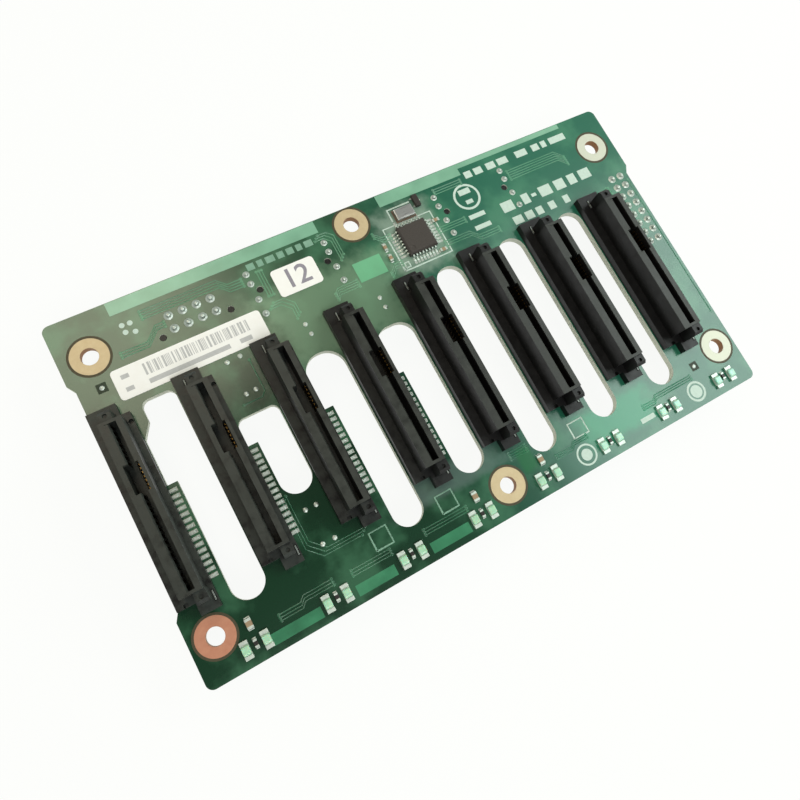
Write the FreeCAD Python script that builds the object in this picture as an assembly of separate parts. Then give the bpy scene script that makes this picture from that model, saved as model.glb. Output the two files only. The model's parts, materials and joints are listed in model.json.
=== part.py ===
import FreeCAD, Part
import math
import os

from FreeCAD import Vector

# Drive backplane board for a row of 2.5 inch drives.
# Millimetres. The origin is midway between the two upper screw holes, on the drive-side face.
# +X runs from bay 1 to the last bay, +Y towards the cable edge, +Z out towards the drives.
# The drives plug in along Z on top; the cables plug in underneath, on the far side of the board.

# ---- Circuit board
board_thickness = 1.6
bay_count = 8
bay_pitch = 16.7
first_bay_margin = 4.6  # recessed left edge to the first receptacle's slot
last_bay_margin = 13.0  # last receptacle's slot to the recessed right edge
light_zone = 12.6  # lower edge to the receptacles' lower ends
cable_zone = 20.4  # upper ends of the receptacles to the upper edge
tab_depth = 1.1  # how far the locating tabs stand out of the recessed side edges
tab_slope = 1.8  # length of the slanted end of a tab
upper_left_tab = 13.0  # tab heights along the side edges
lower_left_tab = 13.7
upper_right_tab = 16.8
board_corner_radius = 1.5
cut_past = 1.0  # how far a cutter runs past the face it opens
small_round_sides = 8  # sides given to pegs and their holes, which are small and round

# ---- Screw holes
screw_hole_radius = 1.8
screw_land_radius = 3.8
land_thickness = 0.05
land_sides = 16  # sides given to the round metal lands
upper_screw_left_inset = 5.0
upper_screw_right_inset = 4.7
upper_screw_drop = 9.1  # upper edge down to the upper screws
middle_screw_inset = 65.5  # left edge to the upper middle screw
middle_screw_drop = 4.2
lower_left_screw_inset = 3.9
lower_left_land_gap = 0.6  # receptacles' lower ends down to the lower left land
lower_middle_screw_bay = 5  # the bay whose slot the lower middle screw stands beside
lower_middle_screw_offset = -3.6
lower_middle_screw_drop = 6.6  # receptacles' lower ends down to the screw
lower_right_screw_inset = 4.8
lower_right_screw_drop = 2.3

# ---- Drive receptacles
slot_length = 33.43
slot_width = 1.25
slot_depth = 5.2
contact_side_wall = 1.95  # wall that holds the long row of contacts
plain_side_wall = 1.15
slot_end_wall = 0.6
wall_height = 7.6
base_height = 1.9
base_left = 4.6  # slot centre line to the base's left edge
base_right = 2.9
base_long_end = 21.6  # middle of the slot to the far end of the base's long limb
base_short_end = 19.0
base_step = 1.1  # slot centre line to the step between the limbs
post_width = 2.3
post_offset = -0.85  # slot centre line to the upper post's centre line
post_length = 2.3
post_height = 6.8
post_chamfer = 0.6
key_left = 1.0  # how far the key bay between the two sections cuts into each side wall
key_right = 0.5
signal_section = 8.45
power_section = 19.28
power_contacts = 15
signal_contacts = 7
second_port_contacts = 7
contact_pitch = 1.27
second_port_pitch = 0.8
chamber_width = 0.75
chamber_depth = 0.95
contact_width = 0.5
second_port_contact_width = 0.4
contact_thickness = 0.35
contact_reach = 0.2  # how far a blade's bend stands into the slot
contact_bend_gap = 1.3  # top of a contact down to its bend
contact_top_gap = 0.9  # top of the wall down to the top of a contact
hold_down_thickness = 0.3
hold_down_length = 1.9
hold_down_edge_gap = 0.35  # from the base's edge in to the plate
hold_down_end_gap = 1.4  # from the long limb's end to the plate
hold_down_rise = 0.2  # above the base's top
pin_clearance = 0.1  # around each hold-down, leg and square pin

# ---- Airflow slots, one beside each receptacle but the last
slot_right_land = 0.25  # board left between a slot and the next receptacle's base
slot_left_land = 2.15  # board left between a receptacle's base and the slot
relief_left_land = 0.1  # the same, beside the slot's wider upper part
relief_start = 3.1  # above the row's middle
relief_end = 13.0
relief_shoulder = 3.1  # length of the slanted shoulder above the relief
# Lower end, upper end and upper corner radius of each slot, measured from the row's middle.
# A slot that closes the relief below its upper end is tall, and the others are capped.
airflow_slots = [
    {"low": -23.3, "high": 20.3, "corner": 1.6, "tall": True},
    {"low": -9.8, "high": 8.7, "corner": 1.6, "tall": False},
    {"low": -26.0, "high": 14.4, "corner": 4.2, "tall": False},
    {"low": -22.5, "high": 13.4, "corner": 3.6, "tall": False},
    {"low": -26.0, "high": 20.2, "corner": 3.3, "tall": True},
    {"low": -25.9, "high": 20.3, "corner": 3.3, "tall": True},
    {"low": -25.9, "high": 20.3, "corner": 3.3, "tall": True},
]

# ---- Data ports under the board, one cable shell each
port_insets = {"a": 48.8, "b": 95.2}  # left edge to each port's middle
cage_width = 18.6
cage_height = 9.6
cage_depth = 15.9
cage_wall = 0.3
cage_front_drop = 0.3  # upper edge down to the mouth
cage_window_width = 3.0
cage_window_length = 2.0
cage_window_spread = 9.0
cage_window_drop = 3.2
leg_width = 0.9
leg_drops = (5.7, 8.0, 11.8, 15.2)  # upper edge down to each leg
leg_rise = 0.5  # above the drive-side face
insulator_gap = 0.05
mouth_depth = 8.0
card_slot_width = 15.4
card_slot_height = 1.7
card_slot_depth = 5.5
card_contacts = 18
card_contact_pitch = 0.8
card_contact_width = 0.35
card_contact_thickness = 0.2
port_peg_spread = 15.9
port_peg_drop = 9.9
peg_radius = 0.7
peg_clearance = 0.08
peg_recess = 0.15  # drive-side face down to a peg's end

# ---- Power header under the board
power_header_inset = 26.3
power_header_drop = 9.0
power_pitch = 3.0
power_columns = 4
power_rows = 2
power_wall = 0.65
power_height = 9.9
power_cell = 2.5
power_cell_depth = 8.2
power_pin = 0.7
power_pin_end_gap = 1.6  # open end of the housing to the pins' ends
power_peg_spread = 14.6
power_peg_offset = -2.4  # header's middle to the pegs
ear_radius = 1.2
ear_height = 1.6
latch_width = 3.4
latch_depth = 1.0
latch_height = 2.6
pin_rise = 0.7  # above the drive-side face

# ---- Sideband header under the board's right edge
sideband_inset = 3.4  # right edge to the header's middle
sideband_height = 48.6  # lower edge to the header's middle
sideband_pitch = 2.54
sideband_columns = 2
sideband_rows = 8
sideband_body_height = 2.54
sideband_pin = 0.64
sideband_pin_length = 6.1  # below the plastic
sideband_notch = 0.5

# ---- Controller, clock and small parts on the drive side
chip_to_port = 8.6  # controller's middle to the near side of the second data port
chip_drop = 13.0
chip_size = 7.0
chip_height = 1.4
chip_standoff = 0.1
chip_chamfer = 0.35
chip_mark_radius = 0.45
chip_mark_depth = 0.1
chip_mark_inset = 1.3
lead_count = 8  # on each side
lead_pitch = 0.8
lead_width = 0.35
lead_thickness = 0.15
lead_reach = 1.0
lead_foot = 0.55
lead_shoulder_height = 0.75
clock_offset = 0.3  # controller's middle to the clock's middle
clock_gap = 1.4  # controller's body up to the clock
clock_length = 5.0
clock_width = 3.2
clock_base_height = 0.35
clock_can_height = 0.75
clock_can_inset = 0.25
switch_gap = 0.85  # clock to the transistor's body
switch_offset = 1.6  # clock's middle up to the transistor's middle
switch_length = 2.9
switch_width = 1.3
switch_height = 1.0
switch_leg = 0.45
chip_part_thickness = 0.5

# ---- Status lights below each bay
led_offsets = (3.1, 7.2)  # bay's slot to each light
led_drop = 9.3  # receptacles' lower ends down to the lights' middles
led_length = 3.2
led_width = 1.6
led_base_height = 0.5
led_lens_height = 0.6
led_lens_length = 1.9
led_lens_taper = 0.2
resistor_offset = 5.15
resistor_drop = 9.0
resistor_size = (1.6, 0.8)
capacitor_size = (2.0, 1.25)
filter_bays = (1, 4, 5)  # the bays with a filter capacitor above their lights
filter_offset = 5.5
filter_drop = 5.3
# Other small parts beside the controller: the way from its middle, and turned along Y or not.
chip_neighbours = [
    {"across": -7.6, "up": 0.8, "turned": True},
    {"across": -7.6, "up": -1.9, "turned": True},
    {"across": 6.2, "up": 2.2, "turned": False},
    {"across": 4.4, "up": -4.9, "turned": False},
]

# ---- Labels
barcode_label_size = (31.6, 6.5)
barcode_label_inset = 6.9
barcode_label_drop = 20.2
number_label_size = (9.9, 6.4)
number_label_inset = 44.2
number_label_drop = 13.6
label_thickness = 0.1

# ---- Places worked out from the sizes above
board_length = first_bay_margin + (bay_count - 1) * bay_pitch + last_bay_margin
board_height = light_zone + 2 * base_long_end + cable_zone
upper_screw_spacing = board_length - upper_screw_left_inset - upper_screw_right_inset
left_edge = -(upper_screw_left_inset + upper_screw_spacing / 2)
right_edge = left_edge + board_length
upper_edge = upper_screw_drop
lower_edge = upper_edge - board_height
row_end_y = lower_edge + light_zone
row_y = row_end_y + base_long_end
far_side = -board_thickness
half_slot = slot_length / 2
slot_floor = wall_height - slot_depth
signal_middle = half_slot - signal_section / 2
power_middle = -half_slot + power_section / 2
key_low = -half_slot + power_section
key_high = half_slot - signal_section
cage_mouth = upper_edge - cage_front_drop
cage_back = cage_mouth - cage_depth
cage_floor = far_side - cage_height
card_slot_middle = far_side - cage_height / 2
power_y = upper_edge - power_header_drop
power_open_end = far_side - power_height
sideband_x = right_edge - sideband_inset
sideband_y = lower_edge + sideband_height
sideband_end = far_side - sideband_body_height
chip_x = left_edge + port_insets["b"] - cage_width / 2 - chip_to_port
chip_y = upper_edge - chip_drop
clock_x = chip_x + clock_offset
clock_y = chip_y + chip_size / 2 + clock_gap + clock_width / 2

screws = {
    "upper_left": (left_edge + upper_screw_left_inset, 0),
    "upper_right": (right_edge - upper_screw_right_inset, 0),
    "upper_middle": (left_edge + middle_screw_inset, upper_edge - middle_screw_drop),
    "lower_left": (
        left_edge + lower_left_screw_inset,
        row_end_y - lower_left_land_gap - screw_land_radius,
    ),
    "lower_middle": (
        left_edge + first_bay_margin + (lower_middle_screw_bay - 1) * bay_pitch
        + lower_middle_screw_offset,
        row_end_y - lower_middle_screw_drop,
    ),
    "lower_right": (right_edge - lower_right_screw_inset, row_end_y - lower_right_screw_drop),
}


# ---- Shapes
def block(low, high):
    """Box between two corners."""
    size = [high[i] - low[i] for i in range(3)]
    return Part.makeBox(*size, Vector(*low))


def centred_block(x, y, size_x, size_y, z_low, z_high):
    """Box centred on x and y."""
    return block((x - size_x / 2, y - size_y / 2, z_low), (x + size_x / 2, y + size_y / 2, z_high))


def post(x, y, radius, z_low, z_high):
    """Upright cylinder."""
    return Part.makeCylinder(radius, z_high - z_low, Vector(x, y, z_low))


def faceted_post(x, y, radius, sides, z_low, z_high):
    """Upright round post drawn with flat sides."""
    outline = Part.makePolygon(
        [
            Vector(
                x + radius * math.cos(2 * math.pi * (i + 0.5) / sides),
                y + radius * math.sin(2 * math.pi * (i + 0.5) / sides),
                z_low,
            )
            for i in range(sides + 1)
        ]
    )
    return Part.Face(outline).extrude(Vector(0, 0, z_high - z_low))


def prism(points, along):
    """Solid made by moving a closed outline along a vector."""
    corners = [Vector(*point) for point in points]
    wire = Part.makePolygon(corners + corners[:1])
    return Part.Face(wire).extrude(Vector(*along))


def rounded_plate(corners, z_low, z_high):
    """Plate with straight sides between corners given as x, y and radius; 0 is a sharp corner."""
    turns = []
    for i, (x, y, radius) in enumerate(corners):
        following = corners[(i + 1) % len(corners)]
        corner = Vector(x, y, z_low)
        back = (Vector(*corners[i - 1][:2], z_low) - corner).normalize()
        ahead = (Vector(*following[:2], z_low) - corner).normalize()
        half = back.getAngle(ahead) / 2
        run = radius / math.tan(half)
        inward = (back + ahead).normalize()
        middle = corner + inward * (radius / math.sin(half) - radius)
        turns.append((corner + back * run, middle, corner + ahead * run))
    edges = []
    for i, (start, middle, end) in enumerate(turns):
        if corners[i][2] > 0:
            edges.append(Part.Arc(start, middle, end).toShape())
        next_start = turns[(i + 1) % len(turns)][0]
        if end.distanceToPoint(next_start) > 1e-6:
            edges.append(Part.LineSegment(end, next_start).toShape())
    return Part.Face(Part.Wire(edges)).extrude(Vector(0, 0, z_high - z_low))


def moved(shape, x, y):
    """The shape shifted across the board."""
    shape.translate(Vector(x, y, 0))
    return shape


def spread(count, pitch, middle=0):
    """Evenly spaced places about a middle."""
    return [middle + (i - (count - 1) / 2) * pitch for i in range(count)]


def bay_x(bay):
    """X of the slot in a bay's receptacle; bays count from 1."""
    return left_edge + first_bay_margin + (bay - 1) * bay_pitch


# ---- Circuit board
def hold_down_places():
    """Centres of one receptacle's two hold-down plates, about the middle of its slot."""
    x = base_right - hold_down_edge_gap - hold_down_thickness / 2
    y = base_long_end - hold_down_end_gap - hold_down_length / 2
    return [(x, -y), (-x, y)]


def power_pin_places():
    """Centres of the power header's pins."""
    columns = spread(power_columns, power_pitch, left_edge + power_header_inset)
    rows = spread(power_rows, power_pitch, power_y)
    return [(x, y) for x in columns for y in rows]


def sideband_pin_places():
    """Centres of the sideband header's pins."""
    columns = spread(sideband_columns, sideband_pitch, sideband_x)
    rows = spread(sideband_rows, sideband_pitch, sideband_y)
    return [(x, y) for x in columns for y in rows]


def leg_places(port_x):
    """Centres of a cable shell's legs."""
    columns = spread(2, cage_width - cage_wall, port_x)
    return [(x, upper_edge - drop) for x in columns for drop in leg_drops]


def peg_places():
    """Centres of every plastic peg that locates a cable connector."""
    places = []
    for inset in port_insets.values():
        for x in spread(2, port_peg_spread, left_edge + inset):
            places.append((x, upper_edge - port_peg_drop))
    for x in spread(2, power_peg_spread, left_edge + power_header_inset):
        places.append((x, power_y + power_peg_offset))
    return places


def airflow_slot(bay, low, high, corner, tall):
    """Cutter for the slot on the right of a bay's receptacle."""
    left = bay_x(bay) + base_right + slot_left_land
    relief = bay_x(bay) + base_right + relief_left_land
    right = bay_x(bay + 1) - base_left - slot_right_land
    step = row_y + relief_start
    end_radius = (right - left) / 2
    outline = [
        (left, row_y + low, end_radius),
        (right, row_y + low, end_radius),
    ]
    if tall:
        upper_radius = min(corner, end_radius)
        outline += [
            (right, row_y + high, upper_radius),
            (left, row_y + high, upper_radius),
            (left, row_y + relief_end + relief_shoulder, 0),
            (relief, row_y + relief_end, 0),
        ]
    else:
        upper_radius = min(corner, (right - relief) / 2)
        outline += [
            (right, row_y + high, upper_radius),
            (relief, row_y + high, upper_radius),
        ]
    outline += [(relief, step, 0), (left, step, 0)]
    return rounded_plate(outline, far_side - cut_past, cut_past)


def circuit_board():
    """Board outline with its locating tabs, less every slot and hole."""
    outer_left = left_edge - tab_depth
    outer_right = right_edge + tab_depth
    outline = [
        (outer_left, lower_edge, board_corner_radius),
        (right_edge, lower_edge, board_corner_radius),
        (right_edge, upper_edge - upper_right_tab - tab_slope, 0),
        (outer_right, upper_edge - upper_right_tab, 0),
        (outer_right, upper_edge, board_corner_radius),
        (outer_left, upper_edge, board_corner_radius),
        (outer_left, upper_edge - upper_left_tab, 0),
        (left_edge, upper_edge - upper_left_tab - tab_slope, 0),
        (left_edge, lower_edge + lower_left_tab + tab_slope, 0),
        (outer_left, lower_edge + lower_left_tab, 0),
    ]
    board = rounded_plate(outline, far_side, 0)
    low = far_side - cut_past
    cutters = [airflow_slot(bay, **size) for bay, size in enumerate(airflow_slots, 1)]
    cutters += [post(x, y, screw_hole_radius, low, cut_past) for x, y in screws.values()]
    for x, y in peg_places():
        radius = peg_radius + peg_clearance
        cutters.append(faceted_post(x, y, radius, small_round_sides, low, cut_past))
    around = 2 * pin_clearance
    power_hole = (power_pin + around, power_pin + around, low, cut_past)
    cutters += [centred_block(x, y, *power_hole) for x, y in power_pin_places()]
    sideband_hole = (sideband_pin + around, sideband_pin + around, low, cut_past)
    cutters += [centred_block(x, y, *sideband_hole) for x, y in sideband_pin_places()]
    leg_hole = (cage_wall + around, leg_width + around, low, cut_past)
    for inset in port_insets.values():
        cutters += [centred_block(x, y, *leg_hole) for x, y in leg_places(left_edge + inset)]
    return board.cut(cutters)


def screw_land(name):
    """Flat metal ring around one screw hole."""
    x, y = screws[name]
    hole_radius = screw_hole_radius / math.cos(math.pi / land_sides)
    ring = faceted_post(x, y, screw_land_radius, land_sides, 0, land_thickness)
    return ring.cut(faceted_post(x, y, hole_radius, land_sides, -cut_past, cut_past))


# ---- Drive receptacles, built about the middle of the slot
def end_post():
    """Guide post beyond the upper end of the slot, with a sloped tip."""
    near = half_slot + slot_end_wall
    far = near + post_length
    x = post_offset - post_width / 2
    side = [
        (x, near, 0),
        (x, far, 0),
        (x, far, post_height - post_chamfer),
        (x, far - post_chamfer, post_height),
        (x, near, post_height),
    ]
    return prism(side, (post_width, 0, 0))


def chamber_rows():
    """Y of every contact on the chambered side: power first, then signal."""
    power = spread(power_contacts, contact_pitch, power_middle)
    return power + spread(signal_contacts, contact_pitch, signal_middle)


def receptacle_housing():
    """Moulded housing: two-limbed base, slotted wall, guide posts and contact chambers."""
    foot = [
        (base_right, -base_long_end, 0),
        (base_right, base_short_end, 0),
        (base_step, base_short_end, 0),
        (base_step, base_long_end, 0),
        (-base_left, base_long_end, 0),
        (-base_left, -base_short_end, 0),
        (-base_step, -base_short_end, 0),
        (-base_step, -base_long_end, 0),
    ]
    housing = prism(foot, (0, 0, base_height))
    wall_end = half_slot + slot_end_wall
    wall = block(
        (-slot_width / 2 - contact_side_wall, -wall_end, 0),
        (slot_width / 2 + plain_side_wall, wall_end, wall_height),
    )
    lower_post = end_post()
    lower_post.rotate(Vector(0, 0, 0), Vector(0, 0, 1), 180)
    housing = housing.fuse([wall, end_post(), lower_post]).removeSplitter()

    above = wall_height + cut_past
    key_face = slot_width / 2 + key_right
    cutters = [
        block((-slot_width / 2, -half_slot, slot_floor), (slot_width / 2, half_slot, above)),
        block((-slot_width / 2 - key_left, key_low, slot_floor), (key_face, key_high, above)),
    ]
    chamber_x = -(slot_width + chamber_depth) / 2
    for y in chamber_rows():
        chamber = (chamber_depth, chamber_width, slot_floor, above)
        cutters.append(centred_block(chamber_x, y, *chamber))
    for x, y in hold_down_places():
        wide = hold_down_thickness + 2 * pin_clearance
        long = hold_down_length + 2 * pin_clearance
        cutters.append(centred_block(x, y, wide, long, -cut_past, base_height + cut_past))
    return housing.cut(cutters).removeSplitter()


def contact(back, facing, reach, y, width):
    """Blade that stands in the slot against a chamber's back and bends towards the drive."""
    top = wall_height - contact_top_gap
    front = back + facing * contact_thickness
    y -= width / 2
    side = [
        (back, y, slot_floor),
        (front, y, slot_floor),
        (back + facing * reach, y, top - contact_bend_gap),
        (back, y, top),
    ]
    return prism(side, (0, width, 0))


def receptacle_contacts():
    """The long row of blades and, across the key bay, the second port's row."""
    back = -slot_width / 2 - chamber_depth
    reach = chamber_depth + contact_reach
    blades = [contact(back, 1, reach, y, contact_width) for y in chamber_rows()]
    back = slot_width / 2 + key_right
    reach = key_right + contact_reach
    for y in spread(second_port_contacts, second_port_pitch, (key_low + key_high) / 2):
        blades.append(contact(back, -1, reach, y, second_port_contact_width))
    return blades


def hold_downs():
    """Two plates that stand in the base's limbs and are soldered to the board."""
    high = base_height + hold_down_rise
    size = (hold_down_thickness, hold_down_length, 0, high)
    return [centred_block(x, y, *size) for x, y in hold_down_places()]


# ---- Data ports
def cage(port_x):
    """Folded sheet shell, open towards the cable and the board, with soldered legs."""
    left = port_x - cage_width / 2
    right = port_x + cage_width / 2
    shell = block((left, cage_back, cage_floor), (right, cage_mouth, far_side))
    inside = block(
        (left + cage_wall, cage_back + cage_wall, cage_floor + cage_wall),
        (right - cage_wall, cage_mouth + cut_past, far_side + cut_past),
    )
    windows = [
        centred_block(
            x,
            cage_mouth - cage_window_drop,
            cage_window_width,
            cage_window_length,
            cage_floor - cut_past,
            cage_floor + 2 * cage_wall,
        )
        for x in spread(2, cage_window_spread, port_x)
    ]
    shell = shell.cut([inside] + windows)
    legs = [
        centred_block(x, y, cage_wall, leg_width, far_side, leg_rise)
        for x, y in leg_places(port_x)
    ]
    return shell.fuse(legs).removeSplitter()


def port_insulator(port_x):
    """Moulded block behind the mouth, with the card slot and two locating pegs."""
    half = cage_width / 2 - cage_wall - insulator_gap
    face = cage_mouth - mouth_depth
    back = cage_back + cage_wall + insulator_gap
    floor = cage_floor + cage_wall + insulator_gap
    body = block((port_x - half, back, floor), (port_x + half, face, far_side))
    slot = block(
        (port_x - card_slot_width / 2, face - card_slot_depth, card_slot_middle - card_slot_height / 2),
        (port_x + card_slot_width / 2, face + cut_past, card_slot_middle + card_slot_height / 2),
    )
    y = upper_edge - port_peg_drop
    pegs = [
        faceted_post(x, y, peg_radius, small_round_sides, far_side, -peg_recess)
        for x in spread(2, port_peg_spread, port_x)
    ]
    return body.cut(slot).fuse(pegs)


def port_contacts(port_x, pitch):
    """Contact strips on the upper and lower faces of the card slot."""
    face = cage_mouth - mouth_depth
    strips = []
    for side in (1, -1):
        outer = card_slot_middle + side * card_slot_height / 2
        inner = outer - side * card_contact_thickness
        low, high = sorted((outer, inner))
        for x in spread(card_contacts, pitch, port_x):
            left = x - card_contact_width / 2
            right = x + card_contact_width / 2
            strips.append(block((left, face - card_slot_depth, low), (right, face, high)))
    return strips


# ---- Headers
def power_header_housing():
    """Shrouded header with a cell around each pin, a latch ramp and two pegged ears."""
    x = left_edge + power_header_inset
    half_x = ((power_columns - 1) * power_pitch + power_cell) / 2 + power_wall
    half_y = ((power_rows - 1) * power_pitch + power_cell) / 2 + power_wall
    body = block((x - half_x, power_y - half_y, power_open_end), (x + half_x, power_y + half_y, far_side))
    ramp_left = x - latch_width / 2
    front = power_y - half_y
    ramp = prism(
        [
            (ramp_left, front, power_open_end + latch_depth),
            (ramp_left, front - latch_depth, power_open_end + latch_height),
            (ramp_left, front, power_open_end + latch_height),
        ],
        (latch_width, 0, 0),
    )
    ear_y = power_y + power_peg_offset
    ear_x = spread(2, power_peg_spread, x)
    ears = block(
        (ear_x[0] - ear_radius, ear_y - ear_radius / 2, far_side - ear_height),
        (ear_x[1] + ear_radius, ear_y + ear_radius, far_side),
    )
    pegs = [
        faceted_post(place, ear_y, peg_radius, small_round_sides, far_side, -peg_recess)
        for place in ear_x
    ]
    housing = body.fuse([ramp, ears] + pegs).removeSplitter()
    cutters = []
    for pin_x, pin_y in power_pin_places():
        cell_floor = power_open_end + power_cell_depth
        cell = (power_cell, power_cell, power_open_end - cut_past, cell_floor)
        passage = (power_pin, power_pin, cell_floor - cut_past, cut_past)
        cutters.append(centred_block(pin_x, pin_y, *cell))
        cutters.append(centred_block(pin_x, pin_y, *passage))
    return housing.cut(cutters)


def power_header_pins():
    """Square pins soldered through the board."""
    low = power_open_end + power_pin_end_gap
    size = (power_pin, power_pin, low, pin_rise)
    return [centred_block(x, y, *size) for x, y in power_pin_places()]


def sideband_header_body():
    """Plastic strip with a notch between neighbouring rows on both sides."""
    width = sideband_columns * sideband_pitch
    length = sideband_rows * sideband_pitch
    body = centred_block(sideband_x, sideband_y, width, length, sideband_end, far_side)
    cutters = []
    for y in spread(sideband_rows - 1, sideband_pitch, sideband_y):
        for side in (1, -1):
            edge = sideband_x + side * width / 2
            outer = edge + side * cut_past
            spread_half = sideband_notch + cut_past
            notch = [
                (outer, y - spread_half, sideband_end),
                (edge - side * sideband_notch, y, sideband_end),
                (outer, y + spread_half, sideband_end),
            ]
            cutters.append(prism(notch, (0, 0, sideband_body_height)))
    passage = (sideband_pin, sideband_pin, sideband_end - cut_past, far_side + cut_past)
    cutters += [centred_block(x, y, *passage) for x, y in sideband_pin_places()]
    return body.cut(cutters)


def sideband_header_pins():
    """Square pins soldered through the board."""
    size = (sideband_pin, sideband_pin, sideband_end - sideband_pin_length, pin_rise)
    return [centred_block(x, y, *size) for x, y in sideband_pin_places()]


# ---- Controller, clock and transistor
def chip_body():
    """Moulded package with bevelled upper edges and a pin-one dimple."""
    top = chip_standoff + chip_height
    half = chip_size / 2
    low = (chip_x - half, chip_y - half, chip_standoff)
    body = block(low, (chip_x + half, chip_y + half, top))
    upper = [edge for edge in body.Edges if edge.BoundBox.ZMin > top - 1e-6]
    body = body.makeChamfer(chip_chamfer, upper)
    mark = half - chip_mark_inset
    depth = (top - chip_mark_depth, top + cut_past)
    return body.cut(post(chip_x - mark, chip_y - mark, chip_mark_radius, *depth))


def chip_leads():
    """Gull-wing leads along the four sides."""
    inner = chip_size / 2
    knee = inner + lead_reach - lead_foot
    leads = []
    for place in spread(lead_count, lead_pitch):
        low = place - lead_width / 2
        side = [
            (inner, low, lead_shoulder_height),
            (inner, low, lead_shoulder_height + lead_thickness),
            (knee + lead_thickness, low, lead_thickness),
            (inner + lead_reach, low, lead_thickness),
            (inner + lead_reach, low, 0),
            (knee, low, 0),
        ]
        for quarter in range(4):
            lead = prism(side, (0, lead_width, 0))
            lead.rotate(Vector(0, 0, 0), Vector(0, 0, 1), 90 * quarter)
            leads.append(moved(lead, chip_x, chip_y))
    return leads


def clock_parts():
    """Ceramic base and metal lid of the clock crystal."""
    base = centred_block(clock_x, clock_y, clock_length, clock_width, 0, clock_base_height)
    across = clock_width - 2 * clock_can_inset
    along = clock_length - 2 * clock_can_inset
    top = clock_base_height + clock_can_height
    return base, centred_block(clock_x, clock_y, along, across, clock_base_height, top)


def transistor_parts():
    """Small moulded transistor and its three feet."""
    x = clock_x + clock_length / 2 + switch_gap + switch_width / 2
    y = clock_y + switch_offset
    body = centred_block(x, y, switch_width, switch_length, chip_standoff, switch_height)
    half = switch_width / 2
    reach = switch_leg
    places = [(-1, y - switch_length / 3), (-1, y + switch_length / 3), (1, y)]
    feet = []
    for side, foot_y in places:
        middle = x + side * (half + reach / 2)
        feet.append(centred_block(middle, foot_y, reach, lead_width, 0, lead_thickness * 2))
    return body, feet


# ---- Chip parts and status lights
def chip_part(x, y, size, turned):
    """Surface-mounted part lying along X, or along Y when turned."""
    length, width = size
    if turned:
        length, width = width, length
    return centred_block(x, y, length, width, 0, chip_part_thickness)


def status_lights():
    """Bases and lenses of the two lights below each bay."""
    bases = []
    lenses = []
    y = row_end_y - led_drop
    for bay in range(1, bay_count + 1):
        for offset in led_offsets:
            x = bay_x(bay) + offset
            bases.append(centred_block(x, y, led_width, led_length, 0, led_base_height))
            foot = led_lens_length / 2
            crown = foot - led_lens_taper
            left = x - led_width / 2
            top = led_base_height + led_lens_height
            lens = [
                (left, y - foot, led_base_height),
                (left, y + foot, led_base_height),
                (left, y + crown, top),
                (left, y - crown, top),
            ]
            lenses.append(prism(lens, (led_width, 0, 0)))
    return bases, lenses


def small_parts():
    """Resistors and capacitors below the bays and around the controller."""
    resistors = []
    capacitors = []
    resistor_y = row_end_y - resistor_drop
    filter_y = row_end_y - filter_drop
    for bay in range(1, bay_count + 1):
        place = (bay_x(bay) + resistor_offset, resistor_y)
        resistors.append(chip_part(*place, resistor_size, True))
    for bay in filter_bays:
        place = (bay_x(bay) + filter_offset, filter_y)
        capacitors.append(chip_part(*place, capacitor_size, True))
    for part in chip_neighbours:
        place = (chip_x + part["across"], chip_y + part["up"])
        capacitors.append(chip_part(*place, resistor_size, part["turned"]))
    return resistors, capacitors


# ---- Labels
def label(size, inset, drop):
    """Thin sticker on the board; the drop is to its lower edge."""
    left = left_edge + inset
    low = upper_edge - drop
    return block((left, low, 0), (left + size[0], low + size[1], label_thickness))


# ---- Writing the pieces
def write(name, solids):
    """One STEP file for a node; a list becomes a group of separate solids."""
    shape = Part.makeCompound(solids) if isinstance(solids, list) else solids
    if shape.ShapeType != "Compound" and not shape.isValid():
        raise ValueError(name + " is not a valid solid")
    shape.exportStep(os.path.join("parts", name + ".step"))


def write_drive_side():
    """Everything that stands on the drive side of the board."""
    tinned = [name for name in screws if name != "lower_left"]
    write("tinned_screw_lands", [screw_land(name) for name in tinned])
    write("copper_screw_land", screw_land("lower_left"))
    for bay in range(1, bay_count + 1):
        place = (bay_x(bay), row_y)
        prefix = "bay_" + str(bay)
        write(prefix + "_receptacle", moved(receptacle_housing(), *place))
        write(prefix + "_contacts", [moved(blade, *place) for blade in receptacle_contacts()])
        write(prefix + "_hold_downs", [moved(plate, *place) for plate in hold_downs()])
    write("controller_body", chip_body())
    write("controller_leads", chip_leads())
    base, can = clock_parts()
    write("clock_base", base)
    write("clock_lid", can)
    body, feet = transistor_parts()
    write("transistor_body", body)
    write("transistor_feet", feet)
    bases, lenses = status_lights()
    write("status_light_bases", bases)
    write("status_light_lenses", lenses)
    resistors, capacitors = small_parts()
    write("resistors", resistors)
    write("capacitors", capacitors)
    write("barcode_label", label(barcode_label_size, barcode_label_inset, barcode_label_drop))
    write("number_label", label(number_label_size, number_label_inset, number_label_drop))


def write_cable_side():
    """The cable connectors under the board."""
    for name, inset in port_insets.items():
        port_x = left_edge + inset
        write("data_port_" + name + "_shell", cage(port_x))
        write("data_port_" + name + "_insulator", port_insulator(port_x))
        write("data_port_" + name + "_contacts", port_contacts(port_x, card_contact_pitch))
    write("power_header_housing", power_header_housing())
    write("power_header_pins", power_header_pins())
    write("sideband_header_body", sideband_header_body())
    write("sideband_header_pins", sideband_header_pins())


os.makedirs("parts", exist_ok=True)
write("circuit_board", circuit_board())
write_drive_side()
write_cable_side()
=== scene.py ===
import json
import math
import random

import bmesh
import bpy
from bpy.props import FloatProperty, FloatVectorProperty, IntProperty, PointerProperty
from mathutils import Matrix, Vector


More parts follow.
